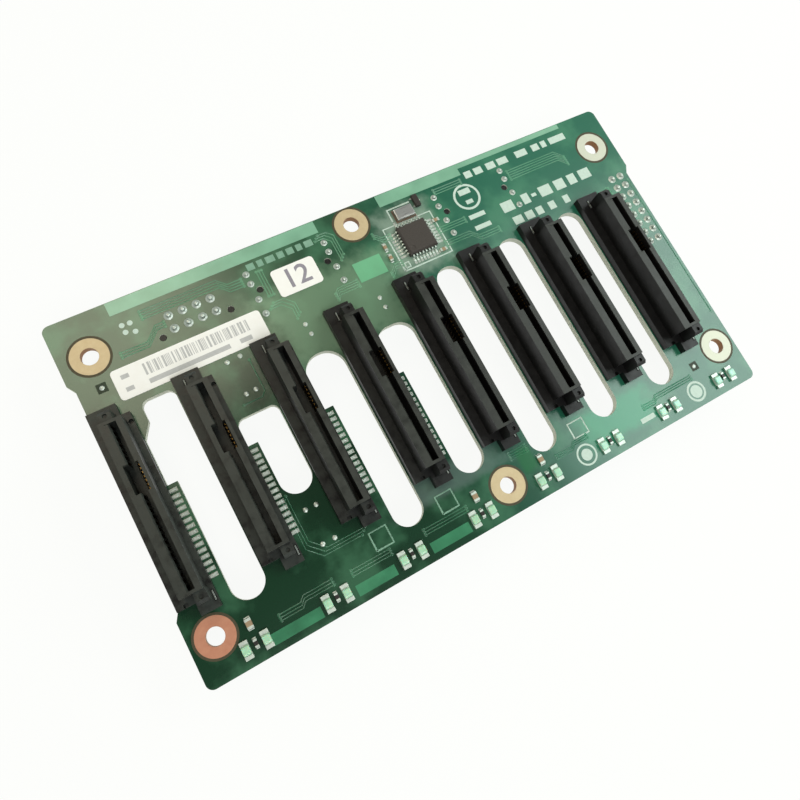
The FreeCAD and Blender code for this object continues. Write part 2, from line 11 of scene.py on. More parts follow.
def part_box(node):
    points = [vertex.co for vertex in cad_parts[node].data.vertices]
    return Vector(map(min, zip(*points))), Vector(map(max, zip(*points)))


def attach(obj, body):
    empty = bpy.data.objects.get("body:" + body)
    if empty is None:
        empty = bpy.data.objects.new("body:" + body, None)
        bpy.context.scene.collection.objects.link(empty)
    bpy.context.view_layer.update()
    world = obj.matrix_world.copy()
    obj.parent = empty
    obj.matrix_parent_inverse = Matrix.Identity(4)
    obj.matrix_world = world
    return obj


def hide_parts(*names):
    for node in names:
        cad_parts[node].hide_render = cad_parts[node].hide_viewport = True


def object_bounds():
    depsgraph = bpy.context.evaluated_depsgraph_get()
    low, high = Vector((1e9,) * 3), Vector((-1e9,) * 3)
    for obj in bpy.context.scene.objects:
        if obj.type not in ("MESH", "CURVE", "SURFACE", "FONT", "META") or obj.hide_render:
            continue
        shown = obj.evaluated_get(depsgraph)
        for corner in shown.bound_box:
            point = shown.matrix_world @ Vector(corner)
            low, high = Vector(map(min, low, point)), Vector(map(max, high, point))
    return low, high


bl_info = {
    "name": "Drive Backplane Board",
    "version": (1, 0, 0),
    "blender": (4, 5, 0),
    "location": "View3D > Sidebar > Backplane",
    "description": "Dresses a drive backplane board with its finishes, solder, print and contacts",
    "category": "Object",
}

# Lengths in this file are metres unless their name says mm. The board's own frame is kept:
# +X along the row of bays, +Y towards the cable edge, +Z out towards the drives.
MM = 0.001
SAME_PLACE = 1e-7  # corners closer than this are one
FLAT_EDGE = math.radians(1)  # an edge that turns less than this is dissolved
SHARP_EDGE = math.radians(30)  # an edge that turns more than this is rounded
SMOOTH_EDGE = math.radians(50)  # a smooth piece's edge that turns less than this is drawn soft

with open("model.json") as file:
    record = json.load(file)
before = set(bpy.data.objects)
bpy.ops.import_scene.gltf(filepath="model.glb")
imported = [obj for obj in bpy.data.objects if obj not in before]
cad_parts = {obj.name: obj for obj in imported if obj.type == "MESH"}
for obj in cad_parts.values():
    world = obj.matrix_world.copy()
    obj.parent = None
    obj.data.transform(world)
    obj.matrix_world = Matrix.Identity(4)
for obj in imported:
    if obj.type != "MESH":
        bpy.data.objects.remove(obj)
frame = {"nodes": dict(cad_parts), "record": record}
cad_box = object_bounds()

BODY = "root"
BAYS = sorted(name for name in frame["nodes"] if name.endswith("_receptacle"))
PORTS = ("a", "b")
TAB_DEPTH = 1.1 * MM  # how far a locating tab stands out of the board's side


# ---- Places, read from the frame
def node_middle(name):
    """Middle of a node's box."""
    low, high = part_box(name)
    return (Vector(low) + Vector(high)) / 2


BOARD_LOW, BOARD_HIGH = (Vector(corner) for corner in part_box("circuit_board"))
LEFT_EDGE = BOARD_LOW.x + TAB_DEPTH
FAR_SIDE = BOARD_LOW.z
SLOT_FROM_BASE = 4.6 * MM  # a receptacle's left edge to the middle of its slot
FIRST_SLOT_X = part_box(BAYS[0])[0][0] + SLOT_FROM_BASE
BAY_PITCH = (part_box(BAYS[-1])[0][0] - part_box(BAYS[0])[0][0]) / (len(BAYS) - 1)
ROW_Y = node_middle(BAYS[0]).y


def bay_x(bay):
    """X of the slot in a bay's receptacle; bays count from 0."""
    return FIRST_SLOT_X + bay * BAY_PITCH


def on_board(x, y, z=0.0):
    """Place given in millimetres from the board's left recess and lower edge."""
    return Vector((LEFT_EDGE + x * MM, BOARD_LOW.y + y * MM, z * MM))


def screw_places():
    """Each screw hole's centre on the drive side, by mount name."""
    places = {}
    for mount in frame["record"]["mounts"]:
        x, y, _ = mount["pos_m"]
        if mount["kind"] == "bolt_pattern":
            half = mount["dims"]["spacing_x_mm"] * MM / 2
            places["upper_left_screw"] = Vector((x - half, y, 0))
            places["upper_right_screw"] = Vector((x + half, y, 0))
        elif mount["kind"] == "bore":
            places[mount["name"]] = Vector((x, y, 0))
    return places


# ---- Sizes and colours that a user would change
def linear(colour):
    """Linear RGBA of an sRGB hex colour."""
    parts = [int(colour[i : i + 2], 16) / 255 for i in (1, 3, 5)]
    low = [part / 12.92 for part in parts]
    high = [((part + 0.055) / 1.055) ** 2.4 for part in parts]
    return [low[i] if parts[i] <= 0.04045 else high[i] for i in range(3)] + [1.0]


def colour_property(name, description, colour):
    """Colour setting whose default is an sRGB hex value."""
    return FloatVectorProperty(
        name=name,
        description=description,
        subtype="COLOR",
        size=4,
        min=0.0,
        max=1.0,
        default=linear(colour),
    )


def length_property(name, description, millimetres):
    """Length setting with its default in millimetres."""
    return FloatProperty(
        name=name,
        description=description,
        unit="LENGTH",
        min=0.0,
        precision=5,
        default=millimetres * MM,
    )


class BoardSettings(bpy.types.PropertyGroup):
    """Solder mask, copper and print of the bare board."""

    mask: colour_property("Mask", "Solder mask over bare laminate", "#05301A")
    # Painted glare: the lighter mask by the last bays stands for the key lamp's reflection
    mask_far_glare: colour_property(
        "Mask, last bays", "Solder mask over the inner copper plane", "#20604A"
    )
    # Painted sheen: the browner mask above the first bays stands for a warm grey reflection
    mask_warm_sheen: colour_property("Mask, old side", "Solder mask where it has browned", "#3D5A42")
    mask_on_copper: colour_property("Mask on copper", "Solder mask over a copper area", "#6CB186")
    # Paler than the laminate alone: its own pale colour with a painted glow of light passing
    # through the cut edge
    laminate: colour_property("Laminate", "Cut edge of the glass and resin board", "#E2E5D8")
    ink: colour_property("Ink", "White printed marks", "#C6D8CC")
    tin: colour_property("Tin", "Levelled tin on the lands", "#C3B28D")
    copper: colour_property("Copper", "Bare copper land", "#BB8468")
    track_width: length_property("Track width", "Width of a copper track", 0.26)
    track_rise: length_property("Track rise", "How far a covered track stands up", 0.03)
    land_radius: length_property("Land radius", "Outer radius of a screw land", 3.8)
    hole_radius: length_property("Hole radius", "Radius of a screw hole", 1.8)
    plating: length_property("Plating", "Thickness drawn for the plating", 0.06)


class ConnectorSettings(bpy.types.PropertyGroup):
    """Receptacles, headers and ports."""

    moulding: colour_property("Moulding", "Black glass-filled moulding", "#090909")
    # Painted sheen: this grey stands for the lamps' reflection on the first bays' mouldings
    first_bay_sheen: colour_property("Dust", "Dust settled on the first bays' mouldings", "#2F342F")
    nylon: colour_property("Nylon", "Black moulding of the power header", "#161615")
    # Darker than bright gold: a painted shade for contacts deep in their chambers
    gold: colour_property("Gold", "Gold plate on the contacts", "#80673A")
    edge_round: length_property("Edge rounding", "Rounding of a moulded edge", 0.14)
    wall_round: length_property("Rib rounding", "Rounding of short edges, as on ribs", 0.05)
    blade_thickness: length_property("Blade", "Thickness of a contact blade", 0.16)
    long_row: IntProperty(
        name="Power contacts", description="Contacts in the power section", default=15, min=1
    )
    short_row: IntProperty(
        name="Signal contacts", description="Contacts in the signal section", default=7, min=1
    )


class PartSettings(bpy.types.PropertyGroup):
    """Small parts, labels and lights."""

    epoxy: colour_property("Epoxy", "Moulded chip package", "#2B2A27")
    lens: colour_property("Lens", "Cloudy lens of a status light", "#8FC09C")
    ceramic: colour_property("Ceramic", "Chip capacitor body", "#A08A6C")
    paper: colour_property("Paper", "Printed label stock", "#EBECE8")
    label_ink: colour_property("Label ink", "Thermal print on a label", "#A4A6A4")


class StageSettings(bpy.types.PropertyGroup):
    """Floor, lamps and camera."""

    floor: colour_property("Floor", "Pale floor", "#F4F4F2")
    lens: FloatProperty(
        name="Lens",
        description="Camera's focal length in millimetres",
        unit="CAMERA",
        default=29.25,
        min=1,
    )
    key: FloatProperty(
        name="Key",
        description="Power of the lamp past the last bay",
        subtype="POWER",
        default=0.92,
        min=0,
    )
    warm: FloatProperty(
        name="Warm",
        description="Power of the lamp past the cable edge",
        subtype="POWER",
        default=0.33,
        min=0,
    )
    fill: FloatProperty(
        name="Fill",
        description="Power of the soft lamp past the lower edge",
        subtype="POWER",
        default=1.0,
        min=0,
    )


# ---- Meshes
def mesh_object(name, mesh):
    """Object of a mesh, or of text, at the scene's origin."""
    thing = bpy.data.objects.new(name, mesh)
    bpy.context.scene.collection.objects.link(thing)
    return thing


def from_bmesh(name, shape, smooth=False):
    """Finished object of a bmesh; a smooth one shows only its sharper edges."""
    mesh = bpy.data.meshes.new(name)
    bmesh.ops.recalc_face_normals(shape, faces=shape.faces)
    if smooth:
        for face in shape.faces:
            face.smooth = True
        for edge in shape.edges:
            edge.smooth = edge.calc_face_angle(math.pi) < SMOOTH_EDGE
    shape.to_mesh(mesh)
    shape.free()
    return mesh_object(name, mesh)


def evaluated(thing):
    """Plain mesh object of what the modifiers give; the object that had them goes."""
    graph = bpy.context.evaluated_depsgraph_get()
    mesh = bpy.data.meshes.new_from_object(thing.evaluated_get(graph))
    name = thing.name
    discard(thing)
    return mesh_object(name, mesh)


def discard(*things):
    """Remove working objects."""
    for thing in things:
        bpy.data.objects.remove(thing)


def joined(name, things):
    """One object of several plain meshes, without their materials."""
    shape = bmesh.new()
    for thing in things:
        shape.from_mesh(thing.data)
    discard(*things)
    mesh = bpy.data.meshes.new(name)
    shape.to_mesh(mesh)
    shape.free()
    return mesh_object(name, mesh)


def add_box(shape, low, high):
    """Box between two corners, added to a bmesh."""
    low, high = Vector(low), Vector(high)
    made = bmesh.ops.create_cube(shape, size=1)
    bmesh.ops.scale(shape, vec=high - low, verts=made["verts"])
    bmesh.ops.translate(shape, vec=(low + high) / 2, verts=made["verts"])
    return made["verts"]


def add_prism(shape, outline, along):
    """Closed outline moved along a vector, added to a bmesh."""
    start = [shape.verts.new(point) for point in outline]
    end = [shape.verts.new(Vector(point) + Vector(along)) for point in outline]
    shape.faces.new(start[::-1])
    shape.faces.new(end)
    for i, corner in enumerate(start):
        following = (i + 1) % len(start)
        shape.faces.new((corner, start[following], end[following], end[i]))


def add_turned(shape, profile, middle=(0, 0, 0), sides=24):
    """Profile of radius and height turned about Z; a closed profile gives a ring."""
    rings = []
    for radius, height in profile:
        ring = []
        if radius < SAME_PLACE:
            ring = [shape.verts.new(Vector(middle) + Vector((0, 0, height)))] * sides
        else:
            for i in range(sides):
                turn = 2 * math.pi * i / sides
                reach = Vector((radius * math.cos(turn), radius * math.sin(turn), height))
                ring.append(shape.verts.new(Vector(middle) + reach))
        rings.append(ring)
    for lower, upper in zip(rings, rings[1:]):
        for i in range(sides):
            corners = [lower[i - 1], lower[i], upper[i], upper[i - 1]]
            shape.faces.new(list(dict.fromkeys(corners)))


def rounded(thing, width, segments=2, weighted=False):
    """Round the edges of a plain mesh; weighted edges keep their own share of the width."""
    bevel = thing.modifiers.new("Rounding", "BEVEL")
    bevel.width = width
    bevel.segments = segments
    bevel.limit_method = "WEIGHT" if weighted else "ANGLE"
    bevel.angle_limit = SHARP_EDGE
    bevel.use_clamp_overlap = True
    return evaluated(thing)


def clean_copy(name, nodes):
    """Copy of CAD nodes with their triangles joined into whole faces."""
    shape = bmesh.new()
    for node in nodes:
        shape.from_mesh(frame["nodes"][node].data)
    bmesh.ops.remove_doubles(shape, verts=shape.verts, dist=SAME_PLACE)
    bmesh.ops.dissolve_limit(shape, angle_limit=FLAT_EDGE, verts=shape.verts, edges=shape.edges)
    return from_bmesh(name, shape)


def dressed(piece, material, slot, *nodes):
    """Hand a finished piece to the frame, with its finish and the nodes it stands for."""
    if material:
        piece.data.materials.clear()
        piece.data.materials.append(material)
    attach(piece, BODY)
    if nodes:
        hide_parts(*nodes)
    return piece


def refinished(node, material):
    """Give a CAD node, whose shape is kept, its finish."""
    frame["nodes"][node].data.materials.clear()
    frame["nodes"][node].data.materials.append(material)


# ---- Geometry Nodes
def add(tree, kind, inputs=None, **settings):
    """One node with its settings; an input is a value or another node's output."""
    node = tree.nodes.new(kind)
    for name, value in settings.items():
        setattr(node, name, value)
    for key, value in (inputs or {}).items():
        if isinstance(value, bpy.types.NodeSocket):
            tree.links.new(value, node.inputs[key])
        else:
            node.inputs[key].default_value = value
    return node


def geometry_tree(name, sizes):
    """Empty tree with its named inputs, and the node that gives them."""
    tree = bpy.data.node_groups.new(name, "GeometryNodeTree")
    tree.interface.new_socket("Geometry", in_out="INPUT", socket_type="NodeSocketGeometry")
    tree.interface.new_socket("Geometry", in_out="OUTPUT", socket_type="NodeSocketGeometry")
    for label, kind in sizes.items():
        tree.interface.new_socket(label, in_out="INPUT", socket_type="NodeSocket" + kind)
    return tree, add(tree, "NodeGroupInput").outputs


def finish_tree(tree, geometry, finish):
    """Real geometry with its finish, as the tree's result."""
    real = add(tree, "GeometryNodeRealizeInstances", {0: geometry})
    coated = add(tree, "GeometryNodeSetMaterial", {0: real.outputs[0], "Material": finish})
    add(tree, "NodeGroupOutput", {0: coated.outputs[0]})
    return tree


def grown(name, tree, values, points=(), edges=(), turns=None):
    """Plain mesh that a tree makes from points or edges and its input values."""
    mesh = bpy.data.meshes.new(name)
    mesh.from_pydata([tuple(point) for point in points], edges, [])
    if turns:
        turn = mesh.attributes.new("turn", "FLOAT", "POINT")
        turn.data.foreach_set("value", turns)
    thing = mesh_object(name, mesh)
    modifier = thing.modifiers.new(tree.name, "NODES")
    modifier.node_group = tree
    for item in tree.interface.items_tree:
        if item.in_out == "INPUT" and item.name in values:
            modifier[item.identifier] = values[item.name]
    piece = evaluated(thing)
    piece.data.materials.clear()  # the instances leave an empty slot before the finish
    piece.data.materials.append(values["Finish"])
    return piece


def parts_on_places_tree():
    """Tree that stands one part on each point, turned by the point's own angle."""
    tree, given = geometry_tree(
        "Parts on places", {"Part": "Object", "Size": "Float", "Finish": "Material"}
    )
    part = add(tree, "GeometryNodeObjectInfo", {"Object": given["Part"]})
    angle = add(tree, "GeometryNodeInputNamedAttribute", {"Name": "turn"}, data_type="FLOAT")
    turn = add(tree, "ShaderNodeCombineXYZ", {"Z": angle.outputs["Attribute"]})
    stood = add(
        tree,
        "GeometryNodeInstanceOnPoints",
        {
            "Points": given["Geometry"],
            "Instance": part.outputs["Geometry"],
            "Rotation": turn.outputs[0],
            "Scale": given["Size"],
        },
    )
    return finish_tree(tree, stood.outputs[0], given["Finish"])


def row_tree():
    """Tree that repeats one part along X at a fixed pitch."""
    tree, given = geometry_tree(
        "Parts in a row",
        {
            "Part": "Object",
            "Count": "Int",
            "Pitch": "Float",
            "First place": "Vector",
            "Finish": "Material",
        },
    )
    step = add(tree, "ShaderNodeCombineXYZ", {"X": given["Pitch"]})
    line = add(
        tree,
        "GeometryNodeMeshLine",
        {
            "Count": given["Count"],
            "Start Location": given["First place"],
            "Offset": step.outputs[0],
        },
        mode="OFFSET",
    )
    part = add(tree, "GeometryNodeObjectInfo", {"Object": given["Part"]})
    stood = add(
        tree,
        "GeometryNodeInstanceOnPoints",
        {"Points": line.outputs[0], "Instance": part.outputs["Geometry"]},
    )
    return finish_tree(tree, stood.outputs[0], given["Finish"])


def track_tree():
    """Tree that gives drawn lines a flat rectangular section."""
    tree, given = geometry_tree(
        "Flat tracks", {"Width": "Float", "Rise": "Float", "Finish": "Material"}
    )
    curve = add(tree, "GeometryNodeMeshToCurve", {0: given["Geometry"]})
    section = add(
        tree,
        "GeometryNodeCurvePrimitiveQuadrilateral",
        {"Width": given["Width"], "Height": given["Rise"]},
        mode="RECTANGLE",
    )
    strip = add(
        tree,
        "GeometryNodeCurveToMesh",
        {"Curve": curve.outputs[0], "Profile Curve": section.outputs[0], "Fill Caps": True},
    )
    return finish_tree(tree, strip.outputs[0], given["Finish"])


HOLE_SIDES = 64
RIM_ROUND = 0.45  # rounding of a land's rim, as a share of the plating's thickness


def plated_hole_tree():
    """Tree that plates a hole at each point: a land on both faces and the wall between."""
    tree, given = geometry_tree(
        "Plated holes",
        {
            "Hole radius": "Float",
            "Land radius": "Float",
            "Plating": "Float",
            "Board": "Float",
            "Finish": "Material",
        },
    )
    breadth = add(
        tree,
        "ShaderNodeMath",
        {0: given["Land radius"], 1: given["Hole radius"]},
        operation="SUBTRACT",
    )
    total = add(
        tree, "ShaderNodeMath", {0: given["Land radius"], 1: given["Hole radius"]}, operation="ADD"
    )
    middle = add(tree, "ShaderNodeMath", {0: total.outputs[0], 1: 0.5}, operation="MULTIPLY")
    rounding = add(
        tree, "ShaderNodeMath", {0: given["Plating"], 1: RIM_ROUND}, operation="MULTIPLY"
    )
    circle = add(
        tree,
        "GeometryNodeCurvePrimitiveCircle",
        {"Resolution": HOLE_SIDES, "Radius": middle.outputs[0]},
    )
    flat = add(
        tree,
        "GeometryNodeCurvePrimitiveQuadrilateral",
        {"Width": breadth.outputs[0], "Height": given["Plating"]},
        mode="RECTANGLE",
    )
    eased = add(
        tree,
        "GeometryNodeFilletCurve",
        {"Curve": flat.outputs[0], "Radius": rounding.outputs[0], "Count": 3},
        mode="POLY",
    )
    land = add(
        tree,
        "GeometryNodeCurveToMesh",
        {"Curve": circle.outputs[0], "Profile Curve": eased.outputs[0]},
    )
    drop = add(tree, "ShaderNodeMath", {0: given["Board"], 1: -1.0}, operation="MULTIPLY")
    below = add(tree, "ShaderNodeCombineXYZ", {"Z": drop.outputs[0]})
    far_land = add(
        tree,
        "GeometryNodeTransform",
        {"Geometry": land.outputs[0], "Translation": below.outputs[0]},
    )
    half_drop = add(tree, "ShaderNodeMath", {0: drop.outputs[0], 1: 0.5}, operation="MULTIPLY")
    centre = add(tree, "ShaderNodeCombineXYZ", {"Z": half_drop.outputs[0]})
    inner = add(
        tree,
        "GeometryNodeCurvePrimitiveCircle",
        {"Resolution": HOLE_SIDES, "Radius": given["Hole radius"]},
    )
    thin = add(
        tree,
        "GeometryNodeCurvePrimitiveQuadrilateral",
        {"Width": given["Plating"], "Height": given["Board"]},
        mode="RECTANGLE",
    )
    wall = add(
        tree,
        "GeometryNodeCurveToMesh",
        {"Curve": inner.outputs[0], "Profile Curve": thin.outputs[0]},
    )
    barrel = add(
        tree,
        "GeometryNodeTransform",
        {"Geometry": wall.outputs[0], "Translation": centre.outputs[0]},
    )
    whole = add(tree, "GeometryNodeJoinGeometry")
    for part in (land, far_land, barrel):
        tree.links.new(part.outputs[0], whole.inputs[0])
    stood = add(
        tree,
        "GeometryNodeInstanceOnPoints",
        {"Points": given["Geometry"], "Instance": whole.outputs[0]},
    )
    smooth = add(tree, "GeometryNodeSetShadeSmooth", {0: stood.outputs[0], "Shade Smooth": False})
    return finish_tree(tree, smooth.outputs[0], given["Finish"])


# ---- Finishes
# Sockets are given by number where a name repeats. A Mix takes the share at 0 and the colours at
# 6 and 7, and gives the mixed colour at 2. A Map Range takes the value at 0, its limits at 1 and 2
# and what these become at 3 and 4, which are 0 and 1 where nothing is given.
EASED = {"interpolation_type": "SMOOTHSTEP"}  # for a ramp from 0 to 1 that starts and ends softly


def new_finish(name):
    """Empty material with its tree and the object's own coordinates in it."""
    material = bpy.data.materials.new(name)
    material.use_nodes = True
    tree = material.node_tree
    tree.nodes.clear()
    return material, tree, add(tree, "ShaderNodeTexCoord").outputs["Object"]


def shade(material, inputs):
    """Close a finish with its surface shader."""
    tree = material.node_tree
    shader = add(tree, "ShaderNodeBsdfPrincipled", inputs)
    add(tree, "ShaderNodeOutputMaterial", {"Surface": shader.outputs[0]})
    return material


def per_mm(size_mm):
    """Texture scale at which one pattern step is about this many millimetres."""
    return 1 / (size_mm * MM)


def wave_scale(band_mm):
    """Wave texture's scale at which a band and its gap are each this many millimetres."""
    return per_mm(band_mm * 20 / math.pi)


def moulded_black(settings):
    """Glass-filled LCP, moulded: satin black, with a painted highlight along the mouths and a
    painted sheen on the first bays.
    """
    material, tree, place = new_finish("Moulded black LCP")
    flow = add(
        tree,
        "ShaderNodeTexNoise",
        {"Vector": place, "Scale": per_mm(2.2), "Detail": 4.0, "Roughness": 0.6},
    )
    grain = add(tree, "ShaderNodeTexNoise", {"Vector": place, "Scale": per_mm(0.12), "Detail": 2.0})
    tone = add(
        tree,
        "ShaderNodeMix",
        {0: flow.outputs[0], 6: settings.moulding, 7: linear("#171716")},
        data_type="RGBA",
    )
    # Painted sheen, stronger towards the first bay
    axes = add(tree, "ShaderNodeSeparateXYZ", {0: place})
    first = add(
        tree, "ShaderNodeMapRange", {0: axes.outputs[0], 1: bay_x(4), 2: bay_x(0)}, **EASED
    ).outputs[0]
    settled = add(
        tree, "ShaderNodeMapRange", {0: flow.outputs[0], 1: 0.25, 2: 0.6}, **EASED
    ).outputs[0]
    amount = add(tree, "ShaderNodeMath", {0: first, 1: settled}, operation="MULTIPLY")
    sheened = add(
        tree,
        "ShaderNodeMix",
        {0: amount.outputs[0], 6: tone.outputs[2], 7: settings.first_bay_sheen},
        data_type="RGBA",
    )
    # Painted highlight in patches along the top of the mouth
    mouth = add(
        tree, "ShaderNodeMapRange", {0: axes.outputs[2], 1: 7.2 * MM, 2: 7.55 * MM}, **EASED
    ).outputs[0]
    patchy = add(tree, "ShaderNodeMapRange", {0: flow.outputs[0], 1: 0.3, 2: 0.7, 3: 0.5, 4: 1.0})
    highlight_share = add(tree, "ShaderNodeMath", {0: mouth, 1: patchy.outputs[0]}, operation="MULTIPLY")
    highlighted = add(
        tree,
        "ShaderNodeMix",
        {0: highlight_share.outputs[0], 6: sheened.outputs[2], 7: linear("#31342F")},
        data_type="RGBA",
    )
    gloss = add(
        tree,
        "ShaderNodeMapRange",
        {0: flow.outputs[0], 1: 0.3, 2: 0.7, 3: 0.34, 4: 0.5},
    )
    relief = add(
        tree,
        "ShaderNodeBump",
        {"Height": grain.outputs[0], "Strength": 0.12, "Distance": 0.02 * MM},
    )
    return shade(
        material,
        {
            "Base Color": highlighted.outputs[2],
            "Roughness": gloss.outputs[0],
            "IOR": 1.5,
            "Specular IOR Level": 0.3,
            "Normal": relief.outputs[0],
        },
    )


def gold_plate(settings):
    """Thin gold over nickel on a stamped spring: warm satin metal."""
    material, tree, place = new_finish("Gold-plated spring bronze")
    wear = add(tree, "ShaderNodeTexNoise", {"Vector": place, "Scale": per_mm(0.6), "Detail": 3.0})
    # The gold setting is darkened, a painted shade for contacts deep in their chambers
    tone = add(
        tree,
        "ShaderNodeMix",
        {0: wear.outputs[0], 6: settings.gold, 7: linear("#574627")},
        data_type="RGBA",
    )
    return shade(
        material, {"Base Color": tone.outputs[2], "Metallic": 1.0, "Roughness": 0.3}
    )


def soldered_tin():
    """Reflowed tin: pale grey metal, smooth where it melted and dull where it cooled."""
    material, tree, place = new_finish("Reflowed tin")
    cooled = add(tree, "ShaderNodeTexNoise", {"Vector": place, "Scale": per_mm(0.5), "Detail": 3.0})
    tone = add(
        tree,
        "ShaderNodeMix",
        {0: cooled.outputs[0], 6: linear("#ABB6AD"), 7: linear("#CED7CD")},
        data_type="RGBA",
    )
    gloss = add(tree, "ShaderNodeMapRange", {0: cooled.outputs[0], 1: 0.3, 2: 0.7, 3: 0.4, 4: 0.6})
    return shade(
        material,
        {"Base Color": tone.outputs[2], "Metallic": 1.0, "Roughness": gloss.outputs[0]},
    )


def dull_tin(name, colour, bright):
    """Matt tin, gone grey: even metal with a soft gloss."""
    material, tree, place = new_finish(name)
    cloud = add(tree, "ShaderNodeTexNoise", {"Vector": place, "Scale": per_mm(0.4), "Detail": 3.0})
    tone = add(
        tree,
        "ShaderNodeMix",
        {0: cloud.outputs[0], 6: linear(colour), 7: linear(bright)},
        data_type="RGBA",
    )
    return shade(material, {"Base Color": tone.outputs[2], "Metallic": 1.0, "Roughness": 0.55})


def levelled_land(name, colour, stain, far_colour, metallic):
    """Plated land with flux stain: uneven, brighter by the last bays, darker brown in the hole,
    where copper colour and painted shade are mixed.
    """
    material, tree, place = new_finish(name)
    axes = add(tree, "ShaderNodeSeparateXYZ", {0: place})
    far = add(
        tree, "ShaderNodeMapRange", {0: axes.outputs[0], 1: bay_x(4), 2: bay_x(7)}, **EASED
    ).outputs[0]
    cloud = add(
        tree,
        "ShaderNodeTexNoise",
        {"Vector": place, "Scale": per_mm(1.6), "Detail": 5.0, "Roughness": 0.65},
    )
    amount = add(
        tree, "ShaderNodeMapRange", {0: cloud.outputs[0], 1: 0.35, 2: 0.75, 3: 0.0, 4: 0.5}
    )
    tone = add(
        tree,
        "ShaderNodeMix",
        {0: amount.outputs[0], 6: colour, 7: stain},
        data_type="RGBA",
    )
    plated = add(
        tree, "ShaderNodeMix", {0: far, 6: tone.outputs[2], 7: far_colour}, data_type="RGBA"
    )
    # The hole's wall, which faces neither up nor down, is darker brown: the plating's copper colour
    # with painted shade
    facing = add(tree, "ShaderNodeNewGeometry")
    normal = add(tree, "ShaderNodeSeparateXYZ", {0: facing.outputs["Normal"]})
    upright = add(tree, "ShaderNodeMath", {0: normal.outputs[2]}, operation="ABSOLUTE")
    flat = add(
        tree, "ShaderNodeMapRange", {0: upright.outputs[0], 1: 0.2, 2: 0.7}, **EASED
    ).outputs[0]
    whole = add(
        tree,
        "ShaderNodeMix",
        {0: flat, 6: linear("#946A42"), 7: plated.outputs[2]},
        data_type="RGBA",
    )
    pits = add(tree, "ShaderNodeTexNoise", {"Vector": place, "Scale": per_mm(0.25), "Detail": 2.0})
    relief = add(
        tree, "ShaderNodeBump", {"Height": pits.outputs[0], "Strength": 0.15, "Distance": 0.03 * MM}
    )
    return shade(
        material,
        {
            "Base Color": whole.outputs[2],
            "Metallic": metallic,
            "Roughness": 0.52,
            "Normal": relief.outputs[0],
        },
    )


# Soft patches in the mask's tone: middle and half size in mm, strength and tint. In turn:
# a painted reflection of the key lamp's glare by the last bays, a painted grey sheen above bays 3
# and 4, a greyer patch below bays 4 and 5, washed flux round the controller, and a clean patch
# by the lower middle land.
MASK_PATCHES = [
    # Painted reflection of the key lamp's glare
    ((98.2, 7.2), (9.6, 4.2), 0.7, "#1A8A62"),
    # Painted grey sheen
    ((54.0, 55.6), (17.0, 9.5), 0.45, "#86A686"),
    ((58.0, 13.2), (13.0, 3.0), 0.3, "#7A8B88"),
    ((76.9, 63.6), (6.6, 8.0), 0.62, "#93A797"),
    ((74.2, 8.6), (1.8, 2.8), 0.7, "#02602F"),
]


def mask_colour(tree, place, settings):
    """Solder mask's tone: deep at the first bays, with a painted warm sheen above them and a
    painted glare lightening it by the last.
    """
    axes = add(tree, "ShaderNodeSeparateXYZ", {0: place})
    # The borders between the tones wander by up to 9 mm
    drift = add(tree, "ShaderNodeTexNoise", {"Vector": place, "Scale": per_mm(26), "Detail": 3.0})
    sway = add(
        tree, "ShaderNodeMapRange", {0: drift.outputs[0], 1: 0.3, 2: 0.7, 3: -9 * MM, 4: 9 * MM}
    )
    across = add(tree, "ShaderNodeMath", {0: axes.outputs[0], 1: sway.outputs[0]}, operation="ADD")
    up = add(tree, "ShaderNodeMath", {0: axes.outputs[1], 1: sway.outputs[0]}, operation="ADD")
    # Painted glare: the mask lightens towards the last bays
    far = add(
        tree, "ShaderNodeMapRange", {0: across.outputs[0], 1: bay_x(2), 2: bay_x(6)}, **EASED
    ).outputs[0]
    near = add(
        tree, "ShaderNodeMapRange", {0: across.outputs[0], 1: bay_x(5), 2: bay_x(0)}, **EASED
    ).outputs[0]
    high = add(
        tree,
        "ShaderNodeMapRange",
        {0: up.outputs[0], 1: ROW_Y - 4 * MM, 2: ROW_Y + 33 * MM},
        **EASED,
    ).outputs[0]
    # Painted warm sheen above the first bays
    warm = add(tree, "ShaderNodeMath", {0: near, 1: high}, operation="MULTIPLY")
    cool = add(
        tree, "ShaderNodeMix", {0: far, 6: settings.mask, 7: settings.mask_far_glare}, data_type="RGBA"
    )
    tone = add(
        tree,
        "ShaderNodeMix",
        {0: warm.outputs[0], 6: cool.outputs[2], 7: settings.mask_warm_sheen},
        data_type="RGBA",
    )
    # Faint clouds where inner copper lies close below
    cloud = add(tree, "ShaderNodeTexNoise", {"Vector": place, "Scale": per_mm(11), "Detail": 4.0})
    patches = add(
        tree, "ShaderNodeMapRange", {0: cloud.outputs[0], 1: 0.46, 2: 0.66}, **EASED
    ).outputs[0]
    amount = add(tree, "ShaderNodeMath", {0: patches, 1: 0.18}, operation="MULTIPLY")
    poured = add(
        tree,
        "ShaderNodeMix",
        {0: amount.outputs[0], 6: tone.outputs[2], 7: settings.mask_on_copper},
        data_type="RGBA",
    )
    colour = poured.outputs[2]
    for patch in MASK_PATCHES:
        colour = tinted(tree, place, axes, colour, *patch)
    return colour


